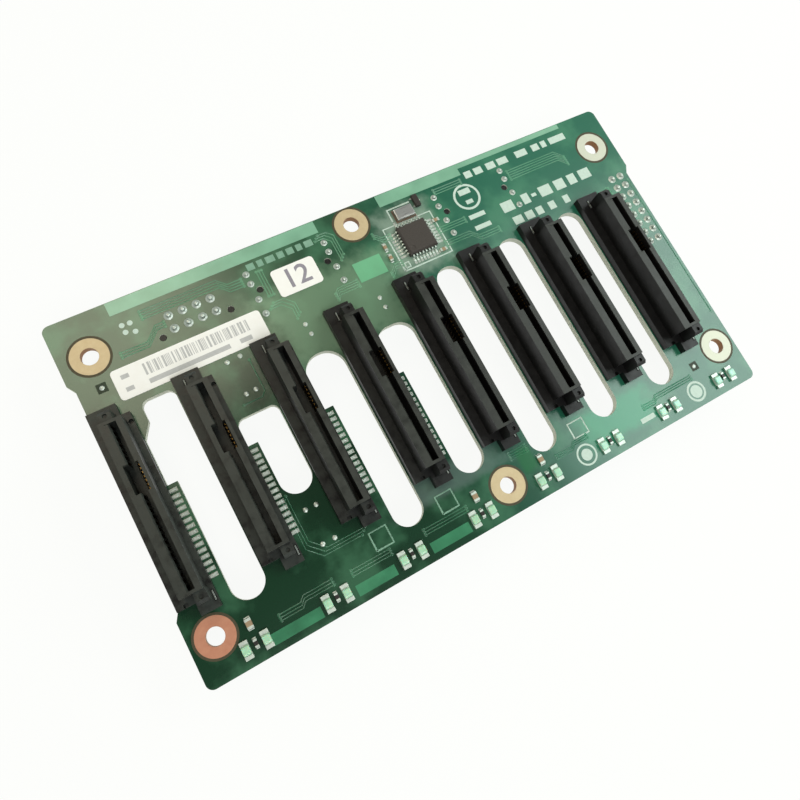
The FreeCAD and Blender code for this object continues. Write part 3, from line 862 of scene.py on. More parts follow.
def tinted(tree, place, axes, colour, middle, half, strength, tint):
    """Colour with a tint over one rectangular patch whose edge is soft and ragged."""
    middle = on_board(*middle)
    sides = []
    for axis in (0, 1):
        away = add(
            tree, "ShaderNodeMath", {0: axes.outputs[axis], 1: middle[axis]}, operation="SUBTRACT"
        )
        size = add(tree, "ShaderNodeMath", {0: away.outputs[0]}, operation="ABSOLUTE")
        share = add(
            tree, "ShaderNodeMath", {0: size.outputs[0], 1: half[axis] * MM}, operation="DIVIDE"
        )
        sides.append(share.outputs[0])
    out = add(tree, "ShaderNodeMath", {0: sides[0], 1: sides[1]}, operation="MAXIMUM")
    cloud = add(
        tree, "ShaderNodeTexNoise", {"Vector": place, "Scale": per_mm(2.5), "Detail": 4.0}
    )
    ragged = add(
        tree, "ShaderNodeMapRange", {0: cloud.outputs[0], 1: 0.3, 2: 0.7, 3: -0.14, 4: 0.14}
    )
    edge = add(tree, "ShaderNodeMath", {0: out.outputs[0], 1: ragged.outputs[0]}, operation="ADD")
    inside = add(
        tree, "ShaderNodeMapRange", {0: edge.outputs[0], 1: 1.3, 2: 0.6}, **EASED
    ).outputs[0]
    amount = add(tree, "ShaderNodeMath", {0: inside, 1: strength}, operation="MULTIPLY")
    mixed = add(
        tree,
        "ShaderNodeMix",
        {0: amount.outputs[0], 6: colour, 7: linear(tint)},
        data_type="RGBA",
    )
    return mixed.outputs[2]


GLASS_THREAD = 0.5  # breadth of a thread of the glass cloth, in mm
LAMINATE_LAYER = 0.2  # thickness of a layer of the laminate, in mm


def mask_relief(tree, place):
    """Relief of the plain-woven glass cloth that shows through a mask."""
    warp = add(
        tree,
        "ShaderNodeTexWave",
        {"Vector": place, "Scale": wave_scale(GLASS_THREAD), "Distortion": 0.6},
        bands_direction="X",
    )
    weft = add(
        tree,
        "ShaderNodeTexWave",
        {"Vector": place, "Scale": wave_scale(GLASS_THREAD), "Distortion": 0.6},
        bands_direction="Y",
    )
    cloth = add(
        tree, "ShaderNodeMath", {0: warp.outputs[1], 1: weft.outputs[1]}, operation="MULTIPLY"
    )
    return add(
        tree, "ShaderNodeBump", {"Height": cloth.outputs[0], "Strength": 0.1, "Distance": 0.02 * MM}
    ).outputs[0]


def masked_laminate(settings):
    """Glass-epoxy laminate under green solder mask; the cut edges show the layered laminate.

    The far side's mask is nearly even: it takes little of the drive side's painted reflections and
    patches.
    """
    material, tree, place = new_finish("Solder mask over laminate")
    depth = add(tree, "ShaderNodeSeparateXYZ", {0: place})
    far = add(tree, "ShaderNodeMapRange", {0: depth.outputs[2], 1: -0.6 * MM, 2: -1.0 * MM, 4: 0.8})
    mask = add(
        tree,
        "ShaderNodeMix",
        {0: far.outputs[0], 6: mask_colour(tree, place, settings), 7: linear("#1D5638")},
        data_type="RGBA",
    ).outputs[2]
    # What faces neither up nor down is a cut edge
    facing = add(tree, "ShaderNodeNewGeometry")
    normal = add(tree, "ShaderNodeSeparateXYZ", {0: facing.outputs["Normal"]})
    upright = add(tree, "ShaderNodeMath", {0: normal.outputs[2]}, operation="ABSOLUTE")
    face = add(tree, "ShaderNodeMath", {0: upright.outputs[0], 1: 0.5}, operation="GREATER_THAN")
    layers = add(
        tree,
        "ShaderNodeTexWave",
        {
            "Vector": place,
            "Scale": wave_scale(LAMINATE_LAYER),
            "Distortion": 1.5,
            "Detail": 2.0,
        },
        bands_direction="Z",
    )
    # The cut edge's pale colour is partly the laminate's own and partly a painted glow of light
    # through it
    edge = add(
        tree,
        "ShaderNodeMix",
        {0: layers.outputs[1], 6: settings.laminate, 7: linear("#CDD2BF")},
        data_type="RGBA",
    )
    tone = add(
        tree, "ShaderNodeMix", {0: face.outputs[0], 6: edge.outputs[2], 7: mask}, data_type="RGBA"
    )
    gloss = add(tree, "ShaderNodeMapRange", {0: face.outputs[0], 3: 0.75, 4: 0.24})
    return shade(
        material,
        {
            "Base Color": tone.outputs[2],
            "Roughness": gloss.outputs[0],
            "IOR": 1.55,
            "Normal": mask_relief(tree, place),
        },
    )


def masked_copper(settings, name, cover):
    """Green solder mask over copper: the metal below makes it lighter and yellower."""
    material, tree, place = new_finish(name)
    base = mask_colour(tree, place, settings)
    cloud = add(tree, "ShaderNodeTexNoise", {"Vector": place, "Scale": per_mm(6), "Detail": 3.0})
    # The metal shows more towards the cable edge
    height = add(tree, "ShaderNodeSeparateXYZ", {0: place})
    upper = add(
        tree, "ShaderNodeMapRange", {0: height.outputs[1], 1: ROW_Y, 2: ROW_Y + 30 * MM}, **EASED
    ).outputs[0]
    least = add(tree, "ShaderNodeMapRange", {0: upper, 3: 0.28 * cover, 4: 0.75 * cover})
    most = add(tree, "ShaderNodeMapRange", {0: upper, 3: 0.5 * cover, 4: cover})
    amount = add(
        tree,
        "ShaderNodeMapRange",
        {0: cloud.outputs[0], 1: 0.3, 2: 0.7, 3: least.outputs[0], 4: most.outputs[0]},
    )
    by_edge = add(
        tree,
        "ShaderNodeMapRange",
        {0: height.outputs[1], 1: BOARD_HIGH.y - 6 * MM, 2: BOARD_HIGH.y - 3 * MM},
        **EASED,
    ).outputs[0]
    pour = add(
        tree,
        "ShaderNodeMix",
        {0: by_edge, 6: settings.mask_on_copper, 7: linear("#7DAE92")},
        data_type="RGBA",
    )
    metal = add(
        tree,
        "ShaderNodeMix",
        {0: upper, 6: linear("#4BA878"), 7: pour.outputs[2]},
        data_type="RGBA",
    )
    tone = add(
        tree,
        "ShaderNodeMix",
        {0: amount.outputs[0], 6: base, 7: metal.outputs[2]},
        data_type="RGBA",
    )
    return shade(
        material,
        {
            "Base Color": tone.outputs[2],
            "Roughness": 0.26,
            "IOR": 1.55,
            "Normal": mask_relief(tree, place),
        },
    )


def flat_print(name, colour, worn, size_mm, roughness, gloss=0.3):
    """Printed or cast surface with a slight unevenness of tone at the given grain."""
    material, tree, place = new_finish(name)
    cloud = add(
        tree, "ShaderNodeTexNoise", {"Vector": place, "Scale": per_mm(size_mm), "Detail": 4.0}
    )
    tone = add(tree, "ShaderNodeMix", {0: cloud.outputs[0], 6: colour, 7: worn}, data_type="RGBA")
    relief = add(
        tree,
        "ShaderNodeBump",
        {"Height": cloud.outputs[0], "Strength": 0.15, "Distance": 0.02 * MM},
    )
    return shade(
        material,
        {
            "Base Color": tone.outputs[2],
            "Roughness": roughness,
            "Specular IOR Level": gloss,
            "Normal": relief.outputs[0],
        },
    )


def cloudy_lens(settings):
    """Cast epoxy lens of a status light: milky, with a soft gloss."""
    material, tree, place = new_finish("Cloudy cast epoxy")
    cloud = add(tree, "ShaderNodeTexNoise", {"Vector": place, "Scale": per_mm(0.7), "Detail": 2.0})
    axes = add(tree, "ShaderNodeSeparateXYZ", {0: place})
    far = add(
        tree, "ShaderNodeMapRange", {0: axes.outputs[0], 1: bay_x(3), 2: bay_x(7)}, **EASED
    ).outputs[0]
    green = add(
        tree, "ShaderNodeMix", {0: far, 6: settings.lens, 7: linear("#8ACBBC")}, data_type="RGBA"
    )
    tone = add(
        tree,
        "ShaderNodeMix",
        {0: cloud.outputs[0], 6: green.outputs[2], 7: linear("#B4DABC")},
        data_type="RGBA",
    )
    return shade(
        material,
        {
            "Base Color": tone.outputs[2],
            "Roughness": 0.22,
            "IOR": 1.52,
            "Subsurface Weight": 0.25,
            "Subsurface Scale": 0.4 * MM,
        },
    )


def nickel_sheet():
    """Nickel-plated folded steel: bright grey with fine rolling lines along X."""
    material, tree, place = new_finish("Nickel-plated sheet steel")
    stretch = add(
        tree,
        "ShaderNodeMapping",
        {"Vector": place, "Scale": (per_mm(4), per_mm(0.12), per_mm(0.12))},
    )
    lines = add(
        tree, "ShaderNodeTexNoise", {"Vector": stretch.outputs[0], "Scale": 1.0, "Detail": 3.0}
    )
    tone = add(
        tree,
        "ShaderNodeMix",
        {0: lines.outputs[0], 6: linear("#A9AAA8"), 7: linear("#C9CAC6")},
        data_type="RGBA",
    )
    gloss = add(tree, "ShaderNodeMapRange", {0: lines.outputs[0], 1: 0.3, 2: 0.7, 3: 0.26, 4: 0.42})
    return shade(
        material,
        {"Base Color": tone.outputs[2], "Metallic": 1.0, "Roughness": gloss.outputs[0]},
    )


# ---- Pieces
def settings_of(context):
    """Settings of the board, the connectors and the small parts, kept on the scene."""
    scene = context.scene
    return scene.backplane_board, scene.backplane_connectors, scene.backplane_parts


# Covered copper areas: left, lower, right and upper limits from the board's lower left, in mm.
COPPER_AREAS = [
    (11.6, 73.2, 58.0, 76.1),
    (73.4, 73.2, 95.0, 76.1),
    (95.0, 74.9, 124.6, 76.1),
    (61.1, 58.8, 67.8, 63.4),
    (12.2, 1.4, 22.9, 3.6),
    (30.4, 1.4, 39.0, 3.6),
    (47.2, 1.4, 56.4, 3.6),
]
# Runs of parallel tracks: the first track's corners, the step to the next and how many, in mm.
TRACK_RUNS = [
    ([(17.0, 71.9), (33.4, 71.9), (35.2, 70.1), (38.2, 70.1)], (0.0, -0.6), 4),
    ([(57.4, 72.6), (59.4, 72.6), (60.7, 71.3), (60.7, 66.4)], (-0.55, -0.55), 3),
    ([(10.4, 64.2), (16.0, 64.2), (18.6, 66.8), (20.4, 66.8)], (0.0, 0.55), 3),
    ([(40.9, 61.4), (43.2, 61.4), (45.0, 59.6), (45.0, 57.2)], (0.55, 0.55), 3),
    ([(54.8, 57.2), (55.8, 58.2), (60.4, 58.2)], (0.0, 0.55), 4),
    ([(68.2, 57.0), (69.8, 58.6), (71.6, 58.6)], (0.0, 0.6), 3),
    ([(72.2, 66.5), (70.2, 66.5), (68.6, 68.1)], (0.0, -0.6), 3),
    ([(83.0, 63.4), (90.2, 63.4)], (0.0, -0.6), 3),
    ([(83.0, 59.9), (89.6, 59.9), (91.4, 58.1), (96.6, 58.1)], (0.0, -0.6), 3),
    ([(86.8, 72.3), (94.0, 72.3)], (0.0, -0.6), 3),
    ([(105.9, 69.8), (119.6, 69.8), (121.6, 67.8)], (0.0, -0.6), 5),
    ([(31.0, 5.4), (39.6, 5.4)], (0.0, 0.6), 3),
    ([(47.4, 5.4), (57.4, 5.4)], (0.0, 0.6), 3),
    ([(15.5, 4.8), (20.0, 4.8), (21.0, 5.8), (27.0, 5.8)], (0.0, 0.6), 3),
    ([(80.4, 5.6), (84.6, 5.6), (85.4, 6.4), (89.0, 6.4)], (0.0, 0.45), 3),
    ([(104.6, 5.6), (107.8, 5.6), (108.6, 6.4), (119.2, 6.4)], (0.0, 0.5), 3),
    ([(71.2, 10.2), (75.4, 10.2)], (0.0, 0.55), 4),
    ([(25.2, 24.0), (25.2, 14.2), (27.9, 11.5), (36.2, 11.5)], (0.6, 0.6), 3),
    ([(27.2, 45.2), (31.2, 45.2), (32.2, 46.2), (32.2, 53.4)], (0.0, 0.0), 1),
    ([(127.6, 15.8), (127.6, 56.0)], (-0.62, 0.0), 2),
    ([(133.7, 18.0), (133.7, 56.0)], (0.0, 0.0), 1),
    ([(43.0, 64.2), (43.0, 70.2)], (-0.6, 0.0), 3),
]


def track_lines(runs):
    """Points and edges of every track in the runs."""
    points = []
    edges = []
    for corners, step, count in runs:
        for track in range(count):
            start = len(points)
            points += [on_board(x + step[0] * track, y + step[1] * track) for x, y in corners]
            edges += [(i, i + 1) for i in range(start, len(points) - 1)]
    return points, edges


def track_ends(points, edges):
    """Places where a track starts or stops."""
    met = [0] * len(points)
    for edge in edges:
        for i in edge:
            met[i] += 1
    return [point for point, times in zip(points, met) if times == 1]


# Sides of small turned pieces, as radius and height in mm: a via filled with mask, which is a
# low ring with a dimple, a solder joint with the pin's end in it, and a flat test point.
COVERED_VIA = [(0.34, 0.0), (0.3, 0.04), (0.17, 0.04), (0.08, 0.02), (0, 0.015)]
SOLDER_JOINT = [
    (0.95, 0.0),
    (0.9, 0.06),
    (0.62, 0.14),
    (0.5, 0.34),
    (0.44, 0.62),
    (0.3, 0.74),
    (0, 0.78),
]
TEST_POINT = [(0.5, 0), (0.46, 0.05), (0, 0.07)]


def in_metres(profile):
    """A profile given in millimetres, in metres."""
    return [(radius * MM, height * MM) for radius, height in profile]


class BACKPLANE_OT_board(bpy.types.Operator):
    """Finish the bare board and lay its covered copper on the drive side"""

    bl_idname = "backplane.board"
    bl_label = "Board and covered copper"

    def execute(self, context):
        board, _, _ = settings_of(context)
        refinished("circuit_board", masked_laminate(board))
        covered = masked_copper(board, "Solder mask over copper", 1.0)
        fine = masked_copper(board, "Solder mask over tracks", 0.38)
        points, edges = track_lines(TRACK_RUNS)
        sizes = {"Width": board.track_width, "Rise": 2 * board.track_rise, "Finish": fine}
        tree = track_tree()
        tracks = grown("covered_tracks", tree, sizes, points, edges)
        dressed(tracks, None, "solder_mask_board")
        vias = bmesh.new()
        for place in track_ends(points, edges):
            add_turned(vias, in_metres(COVERED_VIA), place, sides=12)
        dressed(from_bmesh("covered_vias", vias, smooth=True), fine, "solder_mask_board")
        areas = bmesh.new()
        for left, lower, right, upper in COPPER_AREAS:
            low = on_board(left, lower)
            high = on_board(right, upper) + Vector((0, 0, board.track_rise))
            add_box(areas, low, high)
        plates = from_bmesh("covered_copper", areas)
        dressed(plates, covered, "solder_mask_board")
        return {"FINISHED"}


# Printed outlines: left, lower, right and upper limits, in mm. The worn ones are faint.
PRINTED_FRAMES = [(71.3, 57.2, 83.5, 68.0), (71.9, 57.8, 73.0, 59.0), (86.3, 7.5, 90.1, 11.0)]
WORN_FRAMES = [(37.3, 7.3, 41.1, 11.1), (52.6, 7.3, 56.4, 11.1)]
PRINTED_LINES = [[(74.4, 68.9), (74.4, 71.9), (80.2, 71.9)]]  # corners in mm
LINE_WIDTH = 0.4 * MM
# Rows of plain printed dashes: first dash's lower left corner, height and lengths, in mm.
DASH_ROWS = [
    ((99.8, 60.4), 2.6, (3.2,)),
    ((105.6, 60.4), 2.6, (1.9,)),
    ((108.3, 61.4), 0.8, (1.3,)),
    ((110.6, 60.4), 2.6, (3.3,)),
    ((115.1, 60.4), 2.6, (2.8, 2.2, 3.1)),
    ((100.8, 56.7), 2.0, (2.5, 2.2, 1.8)),
    ((110.9, 56.7), 2.0, (1.8,)),
    ((115.2, 56.7), 2.0, (1.6,)),
    ((91.3, 62.1), 1.1, (4.2,)),
    ((91.3, 59.2), 1.1, (4.2,)),
    ((102.4, 3.1), 1.1, (3.8,)),
    ((95.7, 71.8), 1.7, (1.9, 2.2)),
    ((101.8, 71.8), 1.7, (2.4, 2.8)),
    ((110.2, 71.8), 1.7, (3.2,)),
    ((115.0, 71.8), 1.7, (2.0, 1.4)),
    ((120.2, 71.8), 1.7, (4.6,)),
    ((92.0, 68.4), 1.4, (3.0,)),
    ((92.6, 65.9), 1.0, (1.8,)),
]
WORN_ROWS = [((40.4, 71.0), 1.5, (1.7, 1.3, 2.0, 1.5, 1.6, 1.3, 1.9))]
DASH_GAP = 0.45  # space between dashes, as a share of their height
PRINT_RISE = 0.012 * MM
# Round marks in mm: a ring's middle, radius and width, a disc's middle and radius, dots' middles.
RING_MARKS = [((93.5, 67.7), 3.3, 0.55), ((86.9, 3.4), 2.4, 0.4), ((118.6, 3.5), 2.4, 0.5)]
DISC_MARKS = [((86.9, 3.4), 1.3), ((118.6, 3.5), 1.5)]
DOT_MARKS = [(12.9, 70.5), (14.5, 70.4), (13.0, 68.9), (14.8, 68.3)]
DOT_RADIUS = 0.55
FIDUCIALS = [(4.6, 60.2), (121.6, 8.7)]  # bare squares with a tinned dot, in mm
WINDOW_CORNERS = [(-1, -1), (1, -1), (1, 1), (-1, 1)]  # from a fiducial's middle, in mm


def framed(frames):
    """Closed corners of each rectangle."""
    return [
        [(left, lower), (right, lower), (right, upper), (left, upper), (left, lower)]
        for left, lower, right, upper in frames
    ]


def add_dashes(shape, rows):
    """Rows of printed dashes, added to a bmesh."""
    for (x, y), tall, lengths in rows:
        for length in lengths:
            top = on_board(x + length, y + tall) + Vector((0, 0, PRINT_RISE))
            add_box(shape, on_board(x, y), top)
            x += length + DASH_GAP * tall


def disc_profile(radius_mm):
    """Side of a printed disc, as radius and height."""
    radius = radius_mm * MM
    return [(0, 0), (radius, 0), (radius, PRINT_RISE), (0, PRINT_RISE)]


def ring_profile(radius_mm, width_mm):
    """Closed side of a printed ring, as radius and height."""
    outer = radius_mm * MM
    inner = (radius_mm - width_mm) * MM
    return [(inner, 0), (outer, 0), (outer, PRINT_RISE), (inner, PRINT_RISE), (inner, 0)]


class BACKPLANE_OT_print(bpy.types.Operator):
    """Print the white outlines, rings and plain dashes"""

    bl_idname = "backplane.print"
    bl_label = "White print"

    def execute(self, context):
        board, _, _ = settings_of(context)
        ink = flat_print("White printing ink", board.ink, linear("#A9BDB0"), 0.6, 0.55)
        worn = flat_print("Worn printing ink", linear("#86AC96"), linear("#5F8670"), 0.9, 0.55)
        tree = track_tree()
        for name, frames, lines, coat in (
            ("printed_outlines", PRINTED_FRAMES, PRINTED_LINES, ink),
            ("worn_outlines", WORN_FRAMES, [], worn),
        ):
            runs = [(corners, (0, 0), 1) for corners in framed(frames) + lines]
            points, edges = track_lines(runs)
            sizes = {"Width": LINE_WIDTH, "Rise": 2 * PRINT_RISE, "Finish": coat}
            dressed(grown(name, tree, sizes, points, edges), None, "label_paper")
        faint = bmesh.new()
        add_dashes(faint, WORN_ROWS)
        dressed(from_bmesh("worn_marks", faint), worn, "label_paper")
        marks = bmesh.new()
        add_dashes(marks, DASH_ROWS)
        for (x, y), radius, width in RING_MARKS:
            add_turned(marks, ring_profile(radius, width), on_board(x, y), sides=48)
        for x, y in DOT_MARKS:
            add_turned(marks, disc_profile(DOT_RADIUS), on_board(x, y))
        for (x, y), radius in DISC_MARKS:
            add_turned(marks, disc_profile(radius), on_board(x, y), sides=40)
        bmesh.ops.remove_doubles(marks, verts=marks.verts, dist=SAME_PLACE)
        dressed(from_bmesh("printed_marks", marks), ink, "label_paper")
        windows = bmesh.new()
        for x, y in FIDUCIALS:
            outline = [on_board(x + side, y + end) for side, end in WINDOW_CORNERS]
            add_prism(windows, outline, (0, 0, PRINT_RISE))
        bare = flat_print("Bare laminate, windows", linear("#2B3A28"), linear("#1F2A1D"), 0.8, 0.5)
        dressed(from_bmesh("fiducial_windows", windows), bare, "solder_mask_board")
        return {"FINISHED"}


# Ring of bare laminate round a land: how far it goes under it, past it and up.
RING_LAP = 0.1 * MM
RING_BREADTH = 0.5 * MM
RING_RISE = 0.02 * MM


class BACKPLANE_OT_screw_lands(bpy.types.Operator):
    """Plate the screw holes and ring them with bare laminate"""

    bl_idname = "backplane.screw_lands"
    bl_label = "Screw lands"

    def execute(self, context):
        board, _, _ = settings_of(context)
        places = screw_places()
        lower_left = places.pop("lower_left_screw")
        tree = plated_hole_tree()
        sizes = {
            "Hole radius": board.hole_radius,
            "Land radius": board.land_radius,
            "Plating": board.plating,
            "Board": -FAR_SIDE,
        }
        tin = levelled_land("Levelled tin", board.tin, linear("#B09A74"), linear("#C2C4B2"), 0.3)
        copper = levelled_land(
            "Bare copper", board.copper, linear("#A1634B"), linear("#BB8468"), 0.35
        )
        lands = grown("tinned_lands", tree, {**sizes, "Finish": tin}, places.values())
        dressed(lands, None, "tinned_copper", "tinned_screw_lands")
        land = grown("copper_land", tree, {**sizes, "Finish": copper}, [lower_left])
        dressed(land, None, "bare_copper", "copper_screw_land")
        bare = flat_print("Bare laminate", linear("#4C4530"), linear("#373524"), 0.8, 0.5)
        rings = bmesh.new()
        inner = board.land_radius - RING_LAP
        outer = board.land_radius + RING_BREADTH
        profile = [(inner, 0), (outer, 0), (outer - RING_RISE, RING_RISE)]
        profile += [(inner, RING_RISE), (inner, 0)]
        for place in [*places.values(), lower_left]:
            add_turned(rings, profile, place, HOLE_SIDES)
        for corner in rings.verts:
            corner.co.y = min(corner.co.y, BOARD_HIGH.y)
        bmesh.ops.remove_doubles(rings, verts=rings.verts, dist=SAME_PLACE)
        dressed(from_bmesh("bare_laminate_rings", rings), bare, "solder_mask_board")
        return {"FINISHED"}


# Bare tinned test points, in mm.
TEST_POINTS = [
    (28.6, 47.1), (30.7, 47.2), (28.6, 21.0), (30.9, 21.0), (28.6, 13.6), (31.2, 13.6),
    (28.0, 54.7), (30.9, 54.9), (45.9, 55.4), (46.1, 53.0), (63.1, 54.1), (63.2, 51.7),
]
# Headers on the far side whose pins come through: columns, rows and pin width.
THROUGH_PINS = {
    "power_header_pins": (4, 2, 0.7 * MM),
    "sideband_header_pins": (2, 8, 0.64 * MM),
}
LEG_DROPS = (5.7, 8.0, 11.8, 15.2)  # board's upper edge down to each shell leg, in mm
LEG_THICKNESS = 0.3 * MM
LEG_JOINT_SIZE = 0.78  # against a header pin's joint


def grid_places(node, columns, rows, pin):
    """Centres of a grid of square pins on the drive side, from the pins' box."""
    low, high = (Vector(corner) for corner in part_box(node))
    step_x = (high.x - low.x - pin) / (columns - 1)
    step_y = (high.y - low.y - pin) / (rows - 1)
    return [
        Vector((low.x + pin / 2 + column * step_x, low.y + pin / 2 + row * step_y, 0))
        for column in range(columns)
        for row in range(rows)
    ]


class BACKPLANE_OT_solder(bpy.types.Operator):
    """Add the solder joints and test points"""

    bl_idname = "backplane.solder"
    bl_label = "Solder joints and vias"

    def execute(self, context):
        tin = soldered_tin()
        tree = parts_on_places_tree()
        joint = bmesh.new()
        add_turned(joint, in_metres(SOLDER_JOINT), sides=20)
        joint_part = from_bmesh("joint_part", joint, smooth=True)
        places = []
        for node, (columns, rows, pin) in THROUGH_PINS.items():
            places += grid_places(node, columns, rows, pin)
        sizes = {"Part": joint_part, "Size": 1.0, "Finish": tin}
        joints = grown("header_joints", tree, sizes, places)
        dressed(joints, None, "solder_tin")
        legs = []
        for port in PORTS:
            low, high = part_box("data_port_" + port + "_shell")
            for x in (low[0] + LEG_THICKNESS / 2, high[0] - LEG_THICKNESS / 2):
                legs += [Vector((x, BOARD_HIGH.y - drop * MM, 0)) for drop in LEG_DROPS]
        leg_joints = grown("leg_joints", tree, {**sizes, "Size": LEG_JOINT_SIZE}, legs)
        dressed(leg_joints, None, "solder_tin")
        discard(joint_part)
        point = bmesh.new()
        add_turned(point, in_metres(TEST_POINT), sides=20)
        point_part = from_bmesh("point_part", point, smooth=True)
        points = [on_board(x, y) for x, y in TEST_POINTS + FIDUCIALS]
        pads = grown("test_points", tree, {"Part": point_part, "Size": 1.0, "Finish": tin}, points)
        dressed(pads, None, "solder_tin")
        discard(point_part)
        return {"FINISHED"}


# ---- Receptacles
# Marks moulded in each housing, in mm from the slot's middle: place, radius, bottom and top.
MOULDED_HOLES = [
    ((2.4, 17.0), 0.5, 1.0, 2.5),
    ((-2.7, -18.6), 0.5, 1.0, 2.5),
    ((-0.85, 18.5), 0.45, 6.35, 7.2),
    ((0.85, -18.5), 0.45, 6.35, 7.2),
]
# Rims that close the contact chambers at the top, from slot end to slot end, in mm.
CHAMBER_RIMS = [(-16.6, 2.4), (8.4, 16.6)]
RIM_SECTION = [(-1.7, 7.1), (-0.625, 7.1), (-0.625, 7.6), (-1.7, 7.6)]
LEAD_IN = [(-0.9, 7.7), (-0.9, 7.6), (-0.625, 7.25), (-0.5, 7.25), (-0.5, 7.7)]
LEAD_IN_REACH = 16.7
LONG_EDGE = 2.0 * MM  # edges at least this long get the full rounding


def bar(name, section, low, high):
    """Straight bar along Y of a section across and up, all in mm."""
    shape = bmesh.new()
    add_prism(shape, [Vector((x, low, z)) * MM for x, z in section], (0, (high - low) * MM, 0))
    return from_bmesh(name, shape)


def combined(thing, other, operation):
    """Plain mesh of two solids added or cut; both working objects go."""
    join_up = thing.modifiers.new("Cut", "BOOLEAN")
    join_up.object = other
    join_up.operation = operation
    join_up.solver = "EXACT"
    result = evaluated(thing)
    discard(other)
    return result


def housing_part(connectors):
    """One receptacle housing about the middle of its slot, with its marks and rounded edges."""
    housing = clean_copy("housing_part", [BAYS[0]])
    housing.data.transform(Matrix.Translation((-FIRST_SLOT_X, -ROW_Y, 0)))
    shape = bmesh.new()
    for (x, y), radius, low, high in MOULDED_HOLES:
        profile = in_metres([(0, low), (radius, low), (radius, high), (0, high)])
        add_turned(shape, profile, (x * MM, y * MM, 0), sides=16)
    bmesh.ops.remove_doubles(shape, verts=shape.verts, dist=SAME_PLACE)
    holes = from_bmesh("hole_part", shape)
    marked = combined(housing, holes, "DIFFERENCE")
    for low, high in CHAMBER_RIMS:
        marked = combined(marked, bar("rim_part", RIM_SECTION, low, high), "UNION")
    lead_in = bar("lead_in_part", LEAD_IN, -LEAD_IN_REACH, LEAD_IN_REACH)
    marked = combined(marked, lead_in, "DIFFERENCE")
    shape = bmesh.new()
    shape.from_mesh(marked.data)
    weight = shape.edges.layers.float.new("bevel_weight_edge")
    share = connectors.wall_round / connectors.edge_round
    for edge in shape.edges:
        if edge.calc_face_angle(0) > SHARP_EDGE:
            edge[weight] = 1.0 if edge.calc_length() > LONG_EDGE else share
    shape.to_mesh(marked.data)
    shape.free()
    return rounded(marked, connectors.edge_round, 2, weighted=True)


class BACKPLANE_OT_housings(bpy.types.Operator):
    """Mould the row of receptacle housings"""

    bl_idname = "backplane.housings"
    bl_label = "Receptacle housings"

    def execute(self, context):
        _, connectors, _ = settings_of(context)
        part = housing_part(connectors)
        sizes = {
            "Part": part,
            "Count": len(BAYS),
            "Pitch": BAY_PITCH,
            "First place": Vector((FIRST_SLOT_X, ROW_Y, 0)),
            "Finish": moulded_black(connectors),
        }
        row = grown("receptacle_housings", row_tree(), sizes)
        discard(part)
        dressed(row, None, "black_moulding", *BAYS)
        return {"FINISHED"}


# Side view of a blade, across and up in mm: it leans from the wall into the slot and back.
BLADE_PATH = [
    (0.0, 2.4),
    (0.02, 2.9),
    (0.26, 3.7),
    (0.6, 4.5),
    (0.8, 5.0),
    (0.66, 5.45),
    (0.24, 5.9),
    (0.1, 6.1),
]
BLADE_WIDTH = 0.5
SECOND_WIDTH = 0.4
SECOND_LEAN = 0.55  # lean of the second port's blades, as a share of the others'
LONG_ROW_BACK = 1.45  # slot's middle out to the blades' backs
SECOND_ROW_BACK = 1.0
CONTACT_PITCH = 1.27
SECOND_PITCH = 0.8
POWER_MIDDLE = -7.075  # receptacle's middle to the middle of each section
SIGNAL_MIDDLE = 12.49
SECOND_MIDDLE = 5.415
# A contact's tail with its solder, in mm: its pad's low and high corner, and the side view.
TAIL_PAD = ((0, -0.4, 0), (1.6, 0.4, 0.04))
TAIL_SIDE = [(0.0, 0.02), (1.4, 0.02), (1.28, 0.1), (1.0, 0.22), (0.35, 0.34), (0.0, 0.36)]
TAIL_WIDTH = 0.54


def blade_part(name, thickness, width, lean):
    """Stamped spring blade that leans towards +X."""
    half = width * MM / 2
    front = [(x * lean * MM + thickness, z * MM) for x, z in BLADE_PATH]
    back = [(x * lean * MM, z * MM) for x, z in reversed(BLADE_PATH)]
    shape = bmesh.new()
    outline = [(x, half, z) for x, z in front + back]
    add_prism(shape, outline, (0, -2 * half, 0))
    return from_bmesh(name, shape, smooth=True)


def tail_part():
    """One contact's tail on its pad, led out towards +X, with its solder."""
    shape = bmesh.new()
    add_box(shape, *(Vector(corner) * MM for corner in TAIL_PAD))
    outline = [Vector((x, -TAIL_WIDTH / 2, z)) * MM for x, z in TAIL_SIDE]
    add_prism(shape, outline, (0, TAIL_WIDTH * MM, 0))
    return from_bmesh("tail_part", shape)


def row_of(count, pitch, middle):
    """Evenly spaced places about a middle."""
    return [middle + (i - (count - 1) / 2) * pitch for i in range(count)]


